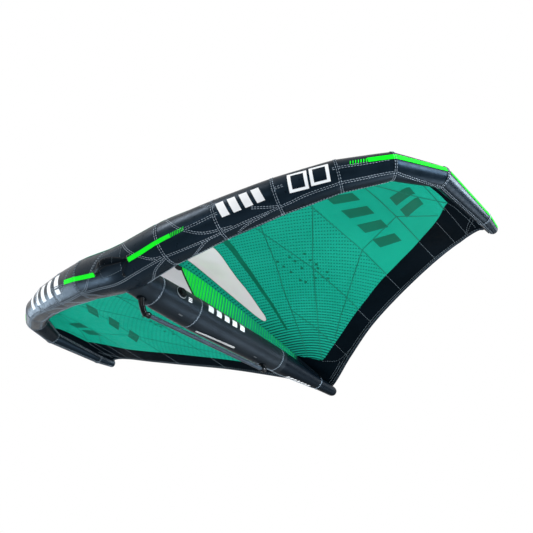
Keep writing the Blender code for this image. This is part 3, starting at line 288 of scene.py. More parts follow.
def straight(a, b, steps=16):
    """Canopy coordinates along a seam from a to b that looks straight from the camera."""
    a, b = np.array(a), np.array(b)
    q = a + (b - a) * np.linspace(0, 1, steps)[:, None]
    ends = canopy(q[[0, -1], 0], q[[0, -1], 1]) - EYE
    sight = unit(np.cross(ends[0], ends[1]))
    run = unit((b - a) * (WIDE, DEEP))
    across = np.array([-run[1] / WIDE, run[0] / DEEP])
    step = 1e-4
    for _ in range(6):
        miss = (canopy(q[:, 0], q[:, 1]) - EYE) @ sight
        moved = q + across * step
        slope = ((canopy(moved[:, 0], moved[:, 1]) - EYE) @ sight - miss) / step
        q = q - across * (miss / slope)[:, None]
    return q


def lengths(p):
    """The length run along a line up to each of its points."""
    return np.concatenate([[0.0], np.cumsum(np.linalg.norm(np.diff(p, axis=0), axis=1))])


def pick(at, run, rows):
    """The rows of a table at the lengths at, where run holds the length of each row."""
    return np.stack([np.interp(at, run, column) for column in rows.T], 1)


def box(u, u_end, v, v_end):
    """The four corners between two coordinates each way."""
    return [(u, v), (u_end, v), (u_end, v_end), (u, v_end)]


# Materials
class Nodes:
    """Short ways to make and link the nodes of a material or a world."""

    def __init__(self, tree):
        self.tree = tree

    def put(self, socket, value):
        if isinstance(value, bpy.types.NodeSocket):
            self.tree.links.new(value, socket)
        else:
            socket.default_value = value

    def node(self, kind, **inputs):
        made = self.tree.nodes.new("ShaderNode" + kind)
        for key, value in inputs.items():
            if key in made.inputs:
                self.put(made.inputs[key], value)
            else:
                setattr(made, key, value)
        return made

    def math(self, operation, a, b=0.0, c=0.0):
        made = self.node("Math", operation=operation)
        for socket, value in zip(made.inputs, (a, b, c)):
            self.put(socket, value)
        return made.outputs[0]

    def times(self, a, b):
        return self.math("MULTIPLY", a, b)

    def mix(self, share, a, b):
        made = self.node("Mix", data_type="RGBA")
        self.put(made.inputs["Factor"], share)
        for slot, value in ((6, a), (7, b)):
            self.put(made.inputs[slot], value if isinstance(value, bpy.types.NodeSocket) else (*value, 1.0))
        return made.outputs[2]

    def ramp(self, value, low, high, to_low=0.0, to_high=1.0):
        made = self.node("MapRange", interpolation_type="SMOOTHSTEP")
        for key, number in (("From Min", low), ("From Max", high), ("To Min", to_low), ("To Max", to_high)):
            made.inputs[key].default_value = number
        self.put(made.inputs["Value"], value)
        return made.outputs["Result"]

    def lines(self, value, pitch, duty):
        """1 on thin lines across a coordinate, pitch metres apart; duty is the share that they cover."""
        wave = self.math("FRACT", self.math("DIVIDE", value, pitch))
        off = self.math("ABSOLUTE", self.math("SUBTRACT", wave, 0.5))
        return self.math("LESS_THAN", off, self.times(duty, 0.5))


MATS = {}


class Mat(Nodes):
    """A procedural material; values that vary are linked, the others stay on the shader's sockets."""

    def __init__(self, name, colour, rough, metal=0.0, **sockets):
        made = bpy.data.materials.new(name)
        made.use_nodes = True
        super().__init__(made.node_tree)
        self.shader = self.tree.nodes["Principled BSDF"]
        self.set("Base Color", (*colour, 1.0))
        self.set("Roughness", rough)
        self.set("Metallic", metal)
        for key, value in sockets.items():
            self.set(key.replace("_", " "), value)
        self.where = self.node("TexCoord").outputs["Object"]
        MATS[name] = made

    def set(self, key, value):
        self.put(self.shader.inputs[key], value)

    def axes(self):
        made = self.node("SeparateXYZ", Vector=self.where)
        return made.outputs["X"], made.outputs["Y"], made.outputs["Z"]

    def noise(self, scale, detail=3.0, vector=None):
        made = self.node("TexNoise", Scale=scale, Detail=detail)
        self.put(made.inputs["Vector"], self.where if vector is None else vector)
        return made.outputs["Fac"]

    def patchy(self, scale, detail, low, high, dark, light):
        """The two colours in soft patches."""
        return self.mix(self.ramp(self.noise(scale, detail), low, high), dark, light)

    def weave(self, pitch):
        """Height of a plain weave from crossed threads along the three axes."""
        waves = [self.math("SINE", self.times(a, math.tau / pitch)) for a in self.axes()]
        return self.math("ADD", self.times(waves[0], waves[1]), self.times(waves[1], waves[2]))

    def bump(self, *heights):
        """Chained bumps, each (height, depth in metres)."""
        before = None
        for height, depth in heights:
            made = self.node("Bump", Height=height)
            made.inputs["Distance"].default_value = depth
            if before is not None:
                self.put(made.inputs["Normal"], before)
            before = made.outputs["Normal"]
        self.set("Normal", before)


def gloss(slate):
    """A faint slate blue sheen for dark surfaces, as strong as the index of refraction says."""
    return {"IOR": slate, "Specular_Tint": (0.35, 0.65, 1.0, 1.0)}


def cloth_mat(name, dark, light, rough, pitch=0.0022, wrinkle=0.0004, aft=None, **sockets):
    """Woven cloth with soft folds; aft is a darker colour behind the strut's third ring seam, painted shade
    for the rear of the strut.
    """
    m = Mat(name, light, rough, **sockets)
    shade = m.patchy(5.0, 4.0, 0.35, 0.65, dark, light)
    # Behind the third ring seam the base colour turns darker: painted shade standing in for the shade on the
    # strut's rear
    if aft:
        shade = m.mix(m.ramp(m.axes()[1], 0.636, 0.642), shade, aft)
    m.set("Base Color", shade)
    m.set("Roughness", m.ramp(m.noise(38.0), 0.3, 0.7, rough - 0.05, rough + 0.08))
    folds = m.node("Mapping", Vector=m.where)
    folds.inputs["Scale"].default_value = (1.0, 1.6, 2.4)
    m.bump((m.noise(9.0, 3.0, folds.outputs[0]), wrinkle), (m.weave(pitch), 0.000015))


def plastic(name, dark, light, rough, grain=0.00015, metal=0.0, **sockets):
    """Moulded or turned parts with a fine grain."""
    m = Mat(name, light, rough, metal, **sockets)
    m.set("Base Color", m.patchy(14.0, 5.0, 0.35, 0.7, dark, light))
    m.set("Roughness", m.ramp(m.noise(60.0, 4.0), 0.3, 0.7, rough - 0.06, rough + 0.1))
    m.bump((m.noise(900.0, 2.0), grain))


def canopy_material():
    m = Mat("canopy_ripstop", (0.012, 0.39, 0.265), 0.46, IOR=1.07, Subsurface_Weight=0.16,
            Subsurface_Radius=(0.01, 0.01, 0.01), Subsurface_Scale=1.0)
    x, y = m.axes()[:2]
    wide = m.math("ABSOLUTE", x)
    # Rows of dashes on circles about the strut's rear end, heavier close to it
    row_pitch, dash_pitch, rows_to = 0.027, 0.0152, 0.885
    back = m.math("SUBTRACT", y, 1.0)
    far = m.math("SQRT", m.math("ADD", m.times(wide, wide), m.times(back, back)))
    thick = m.ramp(far, 0.1, 1.2, 0.46, 0.34)
    long = m.ramp(far, 0.2, 0.85, 1.1, 0.6)
    row = m.lines(far, row_pitch, thick)
    count = m.math("FLOOR", m.math("DIVIDE", far, row_pitch))
    turn = m.math("ARCTAN2", wide, m.times(back, -1.0))
    dash = m.lines(m.times(turn, m.times(count, row_pitch)), dash_pitch, long)
    zone = m.math("LESS_THAN", wide, rows_to)
    mask = m.times(m.times(row, dash), zone)
    near = m.ramp(wide, 0.02, 0.26, 1.3, 1.0)
    ink = m.times(mask, m.times(m.ramp(far, 0.3, 1.2, 0.8, 0.62), near))
    ink = m.times(ink, m.ramp(x, -0.2, 0.0, 0.42, 1.0))
    ground = m.patchy(2.6, 4.0, 0.3, 0.7, (0.0028, 0.244, 0.15), (0.004, 0.279, 0.173))
    grid = m.math("MAXIMUM", m.lines(x, 0.006, 0.14), m.lines(y, 0.006, 0.14))
    ground = m.mix(m.times(grid, 0.25), ground, (0.003, 0.205, 0.125))
    m.set("Base Color", m.mix(ink, ground, (0.0015, 0.03, 0.024)))
    m.set("Roughness", m.ramp(m.noise(30.0), 0.3, 0.7, 0.4, 0.54))
    m.bump((m.noise(4.5, 3.0), 0.003), (grid, 0.0001), (m.weave(0.0016), 0.00006))


def profile_material():
    m = Mat("profile_print", (0.01, 0.78, 0.03), 0.45, Specular_IOR_Level=0.08)
    y, z = m.axes()[1:]
    leaning = m.math("SUBTRACT", y, m.times(z, 0.12))
    bars = m.lines(leaning, 0.024, m.ramp(y, -0.3, 0.5, 0.88, 0.14))
    fine = m.lines(leaning, 0.0095, 0.16)
    teal = m.patchy(6.0, 3.0, 0.3, 0.7, (0.006, 0.24, 0.15), (0.008, 0.28, 0.175))
    green = m.mix(m.times(fine, 0.75), (0.009, 0.76, 0.045), (0.006, 0.28, 0.06))
    m.set("Base Color", m.mix(m.ramp(y, 0.79, 0.86), m.mix(bars, teal, green), (0.002, 0.006, 0.01)))
    m.bump((m.noise(7.0, 3.0), 0.002), (m.weave(0.002), 0.0001))


def window_material():
    m = Mat("window_film", (0.8, 0.72, 0.75), 0.12, Alpha=0.58, Coat_Weight=0.3)
    m.set("Base Color", m.patchy(3.0, 3.0, 0.35, 0.65, (0.71, 0.66, 0.7), (0.77, 0.72, 0.76)))
    m.set("Roughness", m.ramp(m.noise(12.0), 0.3, 0.7, 0.08, 0.2))
    m.bump((m.noise(5.0, 2.0), 0.004))


def webbing_material():
    m = Mat("webbing_dark", (0.003, 0.004, 0.005), 0.72, Specular_IOR_Level=0.15)
    x, z = m.axes()[::2]
    rib_pitch = 0.004
    ribs = m.math("SINE", m.times(m.math("ADD", x, m.times(z, 0.6)), math.tau / rib_pitch))
    m.set("Base Color", m.mix(m.ramp(ribs, -1.0, 1.0), (0.003, 0.004, 0.005), (0.01, 0.012, 0.014)))
    m.bump((ribs, 0.0003), (m.noise(300.0), 0.0001))


cloth_mat("sleeve_cloth", (0.0024, 0.0055, 0.0088), (0.0046, 0.0088, 0.0136), 0.32, **gloss(1.23))
# The strut's cloth gets a darker painted shade behind its third ring seam
cloth_mat("strut_cloth", (0.009, 0.012, 0.015), (0.0126, 0.0162, 0.0198), 0.35,
          aft=(0.001, 0.0028, 0.0052), **gloss(1.18))
cloth_mat("band_cloth", (0.0006, 0.0024, 0.0042), (0.0012, 0.0036, 0.0062), 0.52, wrinkle=0.002, IOR=1.06)
cloth_mat("seam_tape", (0.006, 0.011, 0.0165), (0.0095, 0.016, 0.023), 0.42, **gloss(1.18))
cloth_mat("print_green", (0.003, 0.8, 0.012), (0.004, 0.9, 0.018), 0.45, Specular_IOR_Level=0.08)
cloth_mat("print_white", (0.74, 0.75, 0.76), (0.86, 0.87, 0.88), 0.45, Specular_IOR_Level=0.1)
cloth_mat("print_dark", (0.001, 0.105, 0.062), (0.0015, 0.125, 0.075), 0.5, wrinkle=0.001,
          Specular_IOR_Level=0.06)
cloth_mat("cloth_seam", (0.003, 0.125, 0.08), (0.005, 0.165, 0.108), 0.5, Specular_IOR_Level=0.06)
cloth_mat("thread_light", (0.21, 0.26, 0.31), (0.32, 0.38, 0.44), 0.6, pitch=0.0011, wrinkle=0.0003)
cloth_mat("thread_grey", (0.075, 0.105, 0.125), (0.11, 0.15, 0.175), 0.6, pitch=0.0011, wrinkle=0.0003)
# Lighter grey for the painted highlights on the strut
cloth_mat("painted_highlight_grey", (0.035, 0.045, 0.055), (0.055, 0.068, 0.08), 0.5, wrinkle=0.0003)
cloth_mat("grip_pad", (0.0008, 0.0014, 0.0022), (0.0018, 0.0028, 0.004), 0.42, pitch=0.003, **gloss(1.12))
cloth_mat("pad_light", (0.0075, 0.014, 0.0205), (0.012, 0.0195, 0.028), 0.38, **gloss(1.18))
plastic("bracket_gloss", (0.0015, 0.0025, 0.0035), (0.003, 0.0045, 0.006), 0.26, 0.00002, IOR=1.2)
plastic("bar_finish", (0.026, 0.034, 0.044), (0.04, 0.05, 0.062), 0.34, 0.00002, **gloss(1.24))
plastic("valve_plastic", (0.0012, 0.0018, 0.0025), (0.0025, 0.0035, 0.0045), 0.34, 0.00004, IOR=1.2)
plastic("valve_ring", (0.16, 0.18, 0.2), (0.24, 0.27, 0.29), 0.4)
plastic("cord_rubber", (0.003, 0.004, 0.006), (0.006, 0.008, 0.011), 0.6, IOR=1.12)
plastic("bladder_film", (0.5, 0.55, 0.57), (0.62, 0.66, 0.68), 0.28)
plastic("screw_steel", (0.3, 0.3, 0.31), (0.42, 0.42, 0.43), 0.32, metal=0.9)
webbing_material()
canopy_material()
profile_material()
window_material()


# Mesh helpers
def quads(rows, columns, around=False):
    """Faces of a grid of points; around closes it across the columns."""
    r, c = np.meshgrid(np.arange(rows - 1), np.arange(columns if around else columns - 1), indexing="ij")
    r, n = r * columns, (c + 1) % columns
    return np.stack([r + c, r + n, r + columns + n, r + columns + c], -1).reshape(-1, 4)


def turns(count):
    """Equal angles round a circle."""
    return np.arange(count) * math.tau / count


def circle(across, over, radius, count):
    """Arms from a centre to a ring of points in the plane of two axes."""
    c, s = np.cos(turns(count)), np.sin(turns(count))
    return across * (radius * c)[:, None] + over * (radius * s)[:, None]


class Bag:
    """Collects points and faces of one piece."""

    def __init__(self):
        self.points, self.faces, self.count = [], [], 0

    def add(self, points, faces):
        points = np.asarray(points, float).reshape(-1, 3)
        self.points.append(points)
        self.faces += [tuple(int(i) + self.count for i in face) for face in faces]
        self.count += len(points)

    def skin(self, rings, inside_out=False):
        """A closed skin through rings of points, capped at both ends."""
        count, around = np.shape(rings)[:2]
        end = (count - 1) * around
        faces = [*quads(count, around, True).tolist(), [*range(around)][::-1], [*range(end, end + around)]]
        self.add(rings, [face[::-1] for face in faces] if inside_out else faces)

    def ring(self, rings):
        """A skin that runs round through the rings and closes on the first."""
        count, around = np.shape(rings)[:2]
        self.add(rings, (quads(count + 1, around, True) % (count * around)).tolist())

    def slab(self, p, n, faces, thick):
        """A closed thin sheet about the points p with the normals n."""
        p, n = p.reshape(-1, 3), n.reshape(-1, 3)
        base = len(p)
        pairs = np.stack([faces, np.roll(faces, -1, axis=1)], -1)
        seen = {(a, b) for a, b in pairs.transpose(1, 0, 2).reshape(-1, 2).tolist()}
        rim = [(b, a, a + base, b + base) for a, b in seen if (b, a) not in seen]
        self.add(np.concatenate([p + n * (thick / 2), p - n * (thick / 2)]),
                 [*faces.tolist(), *(faces[:, ::-1] + base).tolist(), *rim])

    def patch(self, surface, corners, lift, thick, nu=8, nv=4):
        """A small printed or sewn sheet on a surface, between four corners (u, v)."""
        a, b, c, d = (np.array(q, float) for q in corners)
        i, j = np.meshgrid(np.linspace(0, 1, nu + 1), np.linspace(0, 1, nv + 1), indexing="ij")
        i, j = i[..., None], j[..., None]
        q = (a * (1 - i) + b * i) * (1 - j) + (d * (1 - i) + c * i) * j
        p = surface(q[..., 0], q[..., 1], lift + thick / 2)
        self.slab(p, outward(surface, q[..., 0], q[..., 1]), quads(nu + 1, nv + 1), thick)

    def ribbon(self, p, n, widths, thick, lift=0.0, across=3):
        """A strip along the points p with the normals n, as wide as widths says."""
        side = unit(np.cross(n, tangents(p)))
        reach = np.broadcast_to(widths, (len(p),))[:, None] * np.linspace(-0.5, 0.5, across)
        q = p[:, None] + side[:, None] * reach[..., None] + n[:, None] * (lift + thick / 2)
        self.slab(q, np.repeat(n[:, None], across, 1), quads(len(p), across), thick)

    def stitches(self, p, n, length=0.01, gap=0.0042, width=0.0025, height=0.0011, shift=0.0):
        """Short threads one behind another along the points p, shift metres to the side."""
        t = tangents(p)
        p = p + unit(np.cross(n, t)) * shift
        run = lengths(p)
        total = int(run[-1] / (length + gap))
        if total < 1:
            return
        at = (np.arange(total) + 0.5) * run[-1] / total
        c, n, t = pick(at, run, p), unit(pick(at, run, n)), unit(pick(at, run, t))
        b = np.cross(n, t)
        corners = []
        for up, long, wide in ((-0.0003, 1.0, 1.0), (height, 0.72, 0.55)):
            for i, j in ((-1, -1), (1, -1), (1, 1), (-1, 1)):
                corners.append(c + n * up + t * (i * long * length / 2) + b * (j * wide * width / 2))
        face = np.array([(0, 3, 2, 1), (4, 5, 6, 7), (0, 1, 5, 4), (1, 2, 6, 5), (2, 3, 7, 6), (3, 0, 4, 7)])
        self.add(np.stack(corners, 1), (face[None] + 8 * np.arange(total)[:, None, None]).reshape(-1, 4))

    def two_rows(self, p, n, lift, shift, *size):
        """Two rows of stitches, shift metres to either side of a line."""
        for beside in BESIDE:
            self.stitches(p + n * lift, n, *size, shift=beside * shift)

    def sweep(self, path, wide, deep, hint, segments=24, power=1.0):
        """A closed bar with rounded ends along a path; power below 1 squares its section."""
        path, hint = np.asarray(path, float), np.asarray(hint, float)
        t = tangents(path)
        across = unit(hint - t * (t @ hint)[:, None])
        over = np.cross(t, across)
        wide = np.broadcast_to(np.asarray(wide, float), (len(path),))
        deep = np.broadcast_to(np.asarray(deep, float), (len(path),))
        path = np.vstack([path[0] - t[0] * deep[0] * 0.75, path[0] - t[0] * deep[0] * 0.5, path,
                          path[-1] + t[-1] * deep[-1] * 0.5, path[-1] + t[-1] * deep[-1] * 0.75])
        wide, deep = ([a[0] * 0.45, a[0] * 0.85, *a, a[-1] * 0.85, a[-1] * 0.45] for a in (wide, deep))
        across, over = (np.vstack([a[:1], a[:1], a, a[-1:], a[-1:]]) for a in (across, over))
        c, s = np.cos(turns(segments)), np.sin(turns(segments))
        c, s = np.sign(c) * np.abs(c) ** power, np.sign(s) * np.abs(s) ** power
        c, s = np.outer(wide, c)[..., None], np.outer(deep, s)[..., None]
        self.skin(path[:, None] + across[:, None] * c + over[:, None] * s)

    def lathe(self, centre, normal, aft, profile, segments=48, ribs=None):
        """A turned ring or disc: profile is a closed list of (radius, height)."""
        normal, aft = unit(np.asarray(normal, float)), np.asarray(aft, float)
        across = unit(aft - normal * (aft @ normal))
        over = np.cross(normal, across)
        rings = []
        for r, h in profile:
            reach = r + (ribs(turns(segments), r) if ribs else 0.0)
            rings.append(centre + normal * h + circle(across, over, reach, segments))
        self.ring(rings)

    def make(self, name, mat, slot, body="wing", stands=(), sharp=None):
        mesh = bpy.data.meshes.new(name)
        mesh.from_pydata((np.concatenate(self.points) - ORIGIN).tolist(), [], self.faces)
        mesh.materials.append(MATS[mat])
        mesh.polygons.foreach_set("use_smooth", [True] * len(mesh.polygons))
        mesh.update()
        made = place(name, mesh)
        if sharp is not None:
            mesh.set_sharp_from_angle(angle=math.radians(sharp))
        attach(made, body)
        if stands:
            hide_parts(*stands)
        return made


def place(name, data, axes=None, at=None):
    """An object in the scene, turned to three axes at a point."""
    made = bpy.data.objects.new(name, data)
    if axes is not None:
        made.matrix_world = Matrix([*np.stack([*axes, at], 1).tolist(), [0, 0, 0, 1]])
    bpy.context.scene.collection.objects.link(made)
    return made


def nodes_like(*starts):
    """The CAD nodes whose names start so."""
    return [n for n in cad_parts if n.startswith(starts)]


def paint(node, mat):
    """Gives a CAD node that is kept its material."""
    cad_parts[node].material_slots[0].material = MATS[mat]


# Leading edge: one inflated skin with its ring seams, and the bladder inside
def dome(ring, out, angles):
    """Rings that close the end of a skin, from its last ring outwards."""
    centre = ring.mean(0)
    return [(ring - centre) * math.cos(a) + centre + out * math.sin(a) for a in angles]


def tube_skin(name, mat, inset, slot, stands, swollen):
    half = []
    for k in range(LAST):
        fine = CLOSE / PANEL[k]
        inner = np.linspace(fine[-1], 1 - fine[-1], 7)
        start = [*fine, *inner[1:-1]] if k else [0.0, 0.06, 0.12, 0.2, 0.28, *inner[3:-1]]
        half += [*(k + np.unique([*start, *(1 - fine)])[:-1])]
    half = np.array([*half, LAST])
    s = np.concatenate([-half[:0:-1], half])
    f = np.linspace(0, 360, 96, endpoint=False)
    left, right = (dome(tube(side * LAST, f, -inset, swollen), TANGENT[LAST] * (side, 1, 1) * (0.012 - inset),
                        (0.4, 0.8, 1.15, 1.4)) for side in BESIDE)
    bag = Bag()
    bag.skin([*left[::-1], *tube(s[:, None], f[None], -inset, swollen), *right])
    bag.make(name, mat, slot, stands=stands)


tube_skin("leading_edge_tube", "sleeve_cloth", 0.0, "sleeve_slate",
          nodes_like("edge_sleeve", "edge_tip_cap"), True)
tube_skin("edge_bladder_film", "bladder_film", 0.004, "bladder_clear", ["edge_bladder"], False)


# Strut: one inflated skin that meets the leading edge in a saddle, and its bladder
def saddle(points, gap):
    """Moves points of the strut's skin to the back of the leading edge, gap metres behind it."""
    rise = np.interp(np.abs(points[:, 0]), [0.0, 0.282], [0.0058, 0.0465])
    points[:, 1] = np.sqrt(np.maximum(TUBE_R**2 - (points[:, 2] - rise) ** 2, 0.0)) + gap
    return points


def strut_skin(name, mat, inset, slot, stands, swollen, start):
    b = np.linspace(0, 360, 72, endpoint=False)
    y = [*np.linspace(start, RING_Y[0], 6)]
    for a, c in zip(RING_Y[:-1], RING_Y[1:]):
        inner = np.linspace(a + 0.06, c - 0.06, 7) if c - a > 0.2 else []
        y += [*(a + CLOSE[1:]), *inner, *(c - CLOSE)]
    y = np.unique(y)
    share = np.interp(y, [start, *RING_Y], [0.0, *SLANTED])
    rings = strut(y[:, None] - slant(b)[None] * share[:, None], b[None], -inset, swollen)
    if swollen:
        first = saddle(strut(0.0, b, -inset, False), 0.0)
        share = np.linspace(0, 1, 6)[:, None, None]
        lead = first * (1 - share) + rings[0] * share
        # The sewn edge stands out a little all round
        lead[:3] += unit(first - first.mean(0))[None] * np.array([0.006, 0.0025, 0.0008])[:, None, None]
        rings = [*lead[:-1], *rings]
    bag = Bag()
    cap = dome(rings[-1], np.array([0, 0.018 - inset, 0]), (0.3, 0.65, 1.0, 1.3, 1.45))
    bag.skin([*rings, *cap], inside_out=True)
    bag.make(name, mat, slot, stands=stands)


strut_skin("strut_tube", "strut_cloth", 0.0, "sleeve_slate",
           nodes_like("strut_sleeve", "strut_end_cap"), True, 0.16)
strut_skin("strut_bladder_film", "bladder_film", 0.004, "bladder_clear", ["strut_bladder"], False, 0.2)
paint("air_hose", "cord_rubber")


# Canopy: cloth, trailing band and windows cut from one curved sheet
def inside(points, outline):
    """Which points lie inside a closed outline."""
    x, y = points[:, 0], points[:, 1]
    hit = np.zeros(len(points), bool)
    for (ax, ay), (bx, by) in zip(outline, np.roll(outline, -1, axis=0)):
        cross = (ay > y) != (by > y)
        with np.errstate(divide="ignore", invalid="ignore"):
            hit ^= cross & (x < ax + (bx - ax) * (y - ay) / (by - ay))
    return hit


def spread(line, pitch):
    """A line with points about pitch apart, measured on the flat cloth."""
    line = np.asarray(line, float)
    run = lengths(line * (WIDE, DEEP))
    return pick(np.linspace(0, run[-1], max(int(run[-1] / pitch), 1) + 1), run, line)


corner, after = np.array(WINDOW_LINE), np.roll(WINDOW_LINE, -1, axis=0)
window = np.stack([corner * 0.75 + after * 0.25, corner * 0.25 + after * 0.75], 1).reshape(-1, 2)
window = spread(np.vstack([window, window[:1]]), 0.02)[:-1]
band = spread(curve(BAND_LINE[:BAND_CORNER + 1], 6), 0.025)
band = np.vstack([band, spread(curve(BAND_LINE[BAND_CORNER:], 6), 0.025)[1:]])
tip = spread(curve(TIP_LINE, 4), 0.02)


def flat_cloth():
    """Triangles of the flat right half, with the seams of band and window as lines."""
    grid_s = np.concatenate([np.linspace(0, 5.9, 76), np.linspace(6.0, 8.0, 30)])
    grid_v = np.concatenate([[0, 0.008, 0.02], np.linspace(0.04, 1.0, 38)])
    rim = np.vstack([[(s, 0.0) for s in grid_s[:-1]], [(8.0, v) for v in grid_v[:-1]],
                     [(s, 1.0) for s in grid_s[:0:-1]], [(0.0, v) for v in grid_v[:0:-1]]])
    inner = np.array([(s, v) for s in grid_s[1:-1] for v in grid_v[1:-1]])
    lines = np.vstack([band, window, tip]) * (WIDE, DEEP)
    gap = np.min(np.linalg.norm((inner * (WIDE, DEEP))[:, None] - lines[None], axis=2), axis=1)
    points, edges = [], []
    for loop, closed in ((rim, True), (window, True), (band, False), (tip, False)):
        base = len(points)
        points += loop.tolist()
        edges += [(base + k, base + k + 1) for k in range(len(loop) - 1)]
        if closed:
            edges.append((base + len(loop) - 1, base))
    points += inner[gap > 0.009].tolist()
    found = delaunay_2d_cdt([(a * WIDE, b * DEEP) for a, b in points], edges, [], 0, 1e-6)
    flat = np.array([(p.x / WIDE, p.y / DEEP) for p in found[0]])
    return flat, np.array([f for f in found[2] if len(f) == 3])


flat, tris = flat_cloth()
middle = flat[tris].mean(1)
in_window = inside(middle, window)
in_teal = inside(middle, np.vstack([[0.0, 0.0], band])) & ~in_window
in_rim = ~inside(middle, np.vstack([tip, [8.1, 0.0], [8.1, 1.1], [5.2, 1.1]])) & (middle[:, 1] < 1.0)


def used_only(points, faces):
    """The points that the faces use, and the faces counted in them."""
    used, faces = np.unique(faces, return_inverse=True)
    return points[used], faces.reshape(-1, 3)


def cloth(name, keep, thick, mat, slot, stands, sides=SIDES):
    """One sheet from the chosen triangles; both halves are joined along the strut's line."""
    half, tri = used_only(flat, tris[keep])
    q = np.concatenate([half * (side, 1) for side in sides])
    turned = [tri if side > 0 else tri[:, ::-1] for side in sides]
    faces = np.concatenate([part + k * len(half) for k, part in enumerate(turned)])
    first, join = {}, np.arange(len(q))
    for i in np.nonzero(np.abs(q[:, 0]) < 1e-6)[0]:
        join[i] = first.setdefault(round(float(q[i, 1]), 6), i)
    q, faces = used_only(q, join[faces])
    p, n = placed(canopy, q, 1.0)
    n = np.where(np.abs(q[:, :1]) < 1e-6, unit(n * (0, 1, 1)), n)
    bag = Bag()
    bag.slab(p, n, faces, thick)
    piece = bag.make(name, mat, slot, stands=stands, sharp=60)


cloth("canopy_cloth", in_teal & in_rim, CLOTH, "canopy_ripstop", "canopy_teal", nodes_like("canopy_"))
cloth("trailing_band_cloth", ~in_teal & ~in_window & in_rim, CLOTH, "band_cloth", "band_black",
      nodes_like("edge_band", "edge_patch", "tip_panel"))
for side, word in ((1, "right"), (-1, "left")):
    cloth("window_pane_" + word, in_window, 0.0005, "window_film", "window_clear", ["window_" + word],
          (side,))

# Seams of the canopy, sewn on both faces
seams, thread, dark_print = Bag(), Bag(), Bag()
for side in SIDES:
    for line in CLOTH_SEAMS:
        for a, b in zip(line[:-1], line[1:]):
            seams.ribbon(*placed(canopy, straight(a, b), side), 0.0052, 0.0016, -0.0008)
    p, n = on(canopy, DARK_STRIPE, side)
    dark_print.ribbon(p, n, np.linspace(0.04, 0.014, len(p)), INK[1], INK[0], 5)
    seams.ribbon(*on(canopy, np.vstack([window, window[:1]]), side, 2), 0.0045, 0.0018, -0.0009)
seams.make("canopy_seams", "cloth_seam", "canopy_teal", sharp=60)
lap = Bag()
s = np.linspace(-3.2, 3.2, 97)
front_edge = np.interp(np.abs(s), (0.0, 1.0, 1.7, 2.6, 3.2), (-36.0, -38.0, -62.0, -105.0, -136.0))
back_edge = np.interp(np.abs(s), range(LAST + 1), ATTACH) - 180.0
f = front_edge[:, None] + (back_edge - front_edge)[:, None] * np.linspace(0.0, 1.0, 12)[None]
s = np.repeat(s[:, None], 12, 1)
lap.slab(tube(s, f, 0.0016), outward(tube, s, f), quads(97, 12), 0.0008)
lap.make("canopy_lap", "canopy_ripstop", "canopy_teal", sharp=60)


def bars(bag, surface, start, end, count, width, lean=(0, 0), fill=0.6, nv=6, side=1.0, thin=0.0, nu=3):
    """Plain bars in a row between two places: width is each bar's length across the row, lean its slant,
    fill the share that the first bar covers and thin how much of it the last one loses."""
    start, end, width, lean = (np.array(a, float) for a in (start, end, width, lean))
    for k in range(count):
        a = start + (end - start) * (k / count)
        b = start + (end - start) * ((k + fill - thin * k / count) / count)
        corners = [(u * side, v) for u, v in (a, b, b + width + lean, a + width + lean)]
        bag.patch(surface, corners, *(INK if surface is canopy else PRINT), nu, nv)


# Generic bars and blocks where the photographed cloth carries printed marks
bars(dark_print, canopy, (3.56, 0.09), (3.5, 0.7), 4, (0.42, 0.02), (0, 0.03), 0.55)
bars(dark_print, canopy, (4.5, 0.3), (4.42, 0.58), 2, (0.62, 0.0), (0, -0.06), 0.66)
bars(dark_print, canopy, (3.0, 0.13), (3.1, 0.68), 3, (0.34, 0.05), (0, 0.03), 0.5, side=-1.0)
bars(dark_print, canopy, (4.28, 0.28), (4.32, 0.58), 2, (0.62, 0.0), (0, -0.06), 0.66, side=-1.0)
for s, v in FLECKS:
    for side in SIDES:
        corners = ((-0.034, -0.003), (0.012, -0.009), (0.034, 0.003), (-0.012, 0.009))
        dark_print.patch(canopy, [((s + a) * side, v + b) for a, b in corners], *INK, 2, 2)
dark_print.make("canopy_prints", "print_dark", "canopy_teal", sharp=60)

# Trailing edge hem, its stitch rows, and the rows across the band, each row on both faces
hem, edge_rows = Bag(), Bag()
edge_line = np.vstack([[(s, 1.0) for s in np.linspace(0.0, 5.0, 21)], np.array(TIP_LINE) - (0.0, 0.001)])
edge_line = edge_line[edge_line[:, 1] > 0.3]
for side in SIDES:
    hem.ribbon(*on(canopy, edge_line - (0.0, 0.006), side, 10), 0.015, 0.0026, -0.0013)
    rows = [on(canopy, edge_line - (0.0, share), side, 10) for share in (0.014, 0.026)]
    for p, n in (*rows, *(on(canopy, row, side) for row in BAND_ROWS)):
        edge_rows.stitches(p - n * CLOTH, -n)
        edge_rows.stitches(p + n * CLOTH, n)
hem.make("trailing_hem", "seam_tape", "band_black", sharp=60)

# Tapes and stitch rows on the leading edge
tapes = Bag()
full = np.linspace(0, 360, 97)


def taped(line, width, thick, lift, shift, *size):
    """A tape along a line of points and normals, with two rows of stitches on it."""
    p, n = line
    tapes.ribbon(p, n, width, thick, lift)
    thread.two_rows(p, n, thick + lift, shift, *size)


for side in SIDES:
    for k in range(1, LAST):
        size = 0.5 + 0.5 * RADIUS[k] / TUBE_R
        line = placed(tube, np.stack([np.full(97, k), full], 1), side)
        taped(line, 0.02 * size, 0.0012, 0.0012, 0.0058 * size)
    for line in TUBE_SEAMS:
        taped(on(tube, line, side), 0.018, 0.001, 0.0, 0.0048)
    for line in TUBE_ARCS:
        thread.two_rows(*on(tube, line, side), 0.0, 0.0045)
    taped(on(tube, [(s, f - 187.0) for s, f in enumerate(ATTACH)], side), 0.024, 0.0012, 0.0004, -0.004)

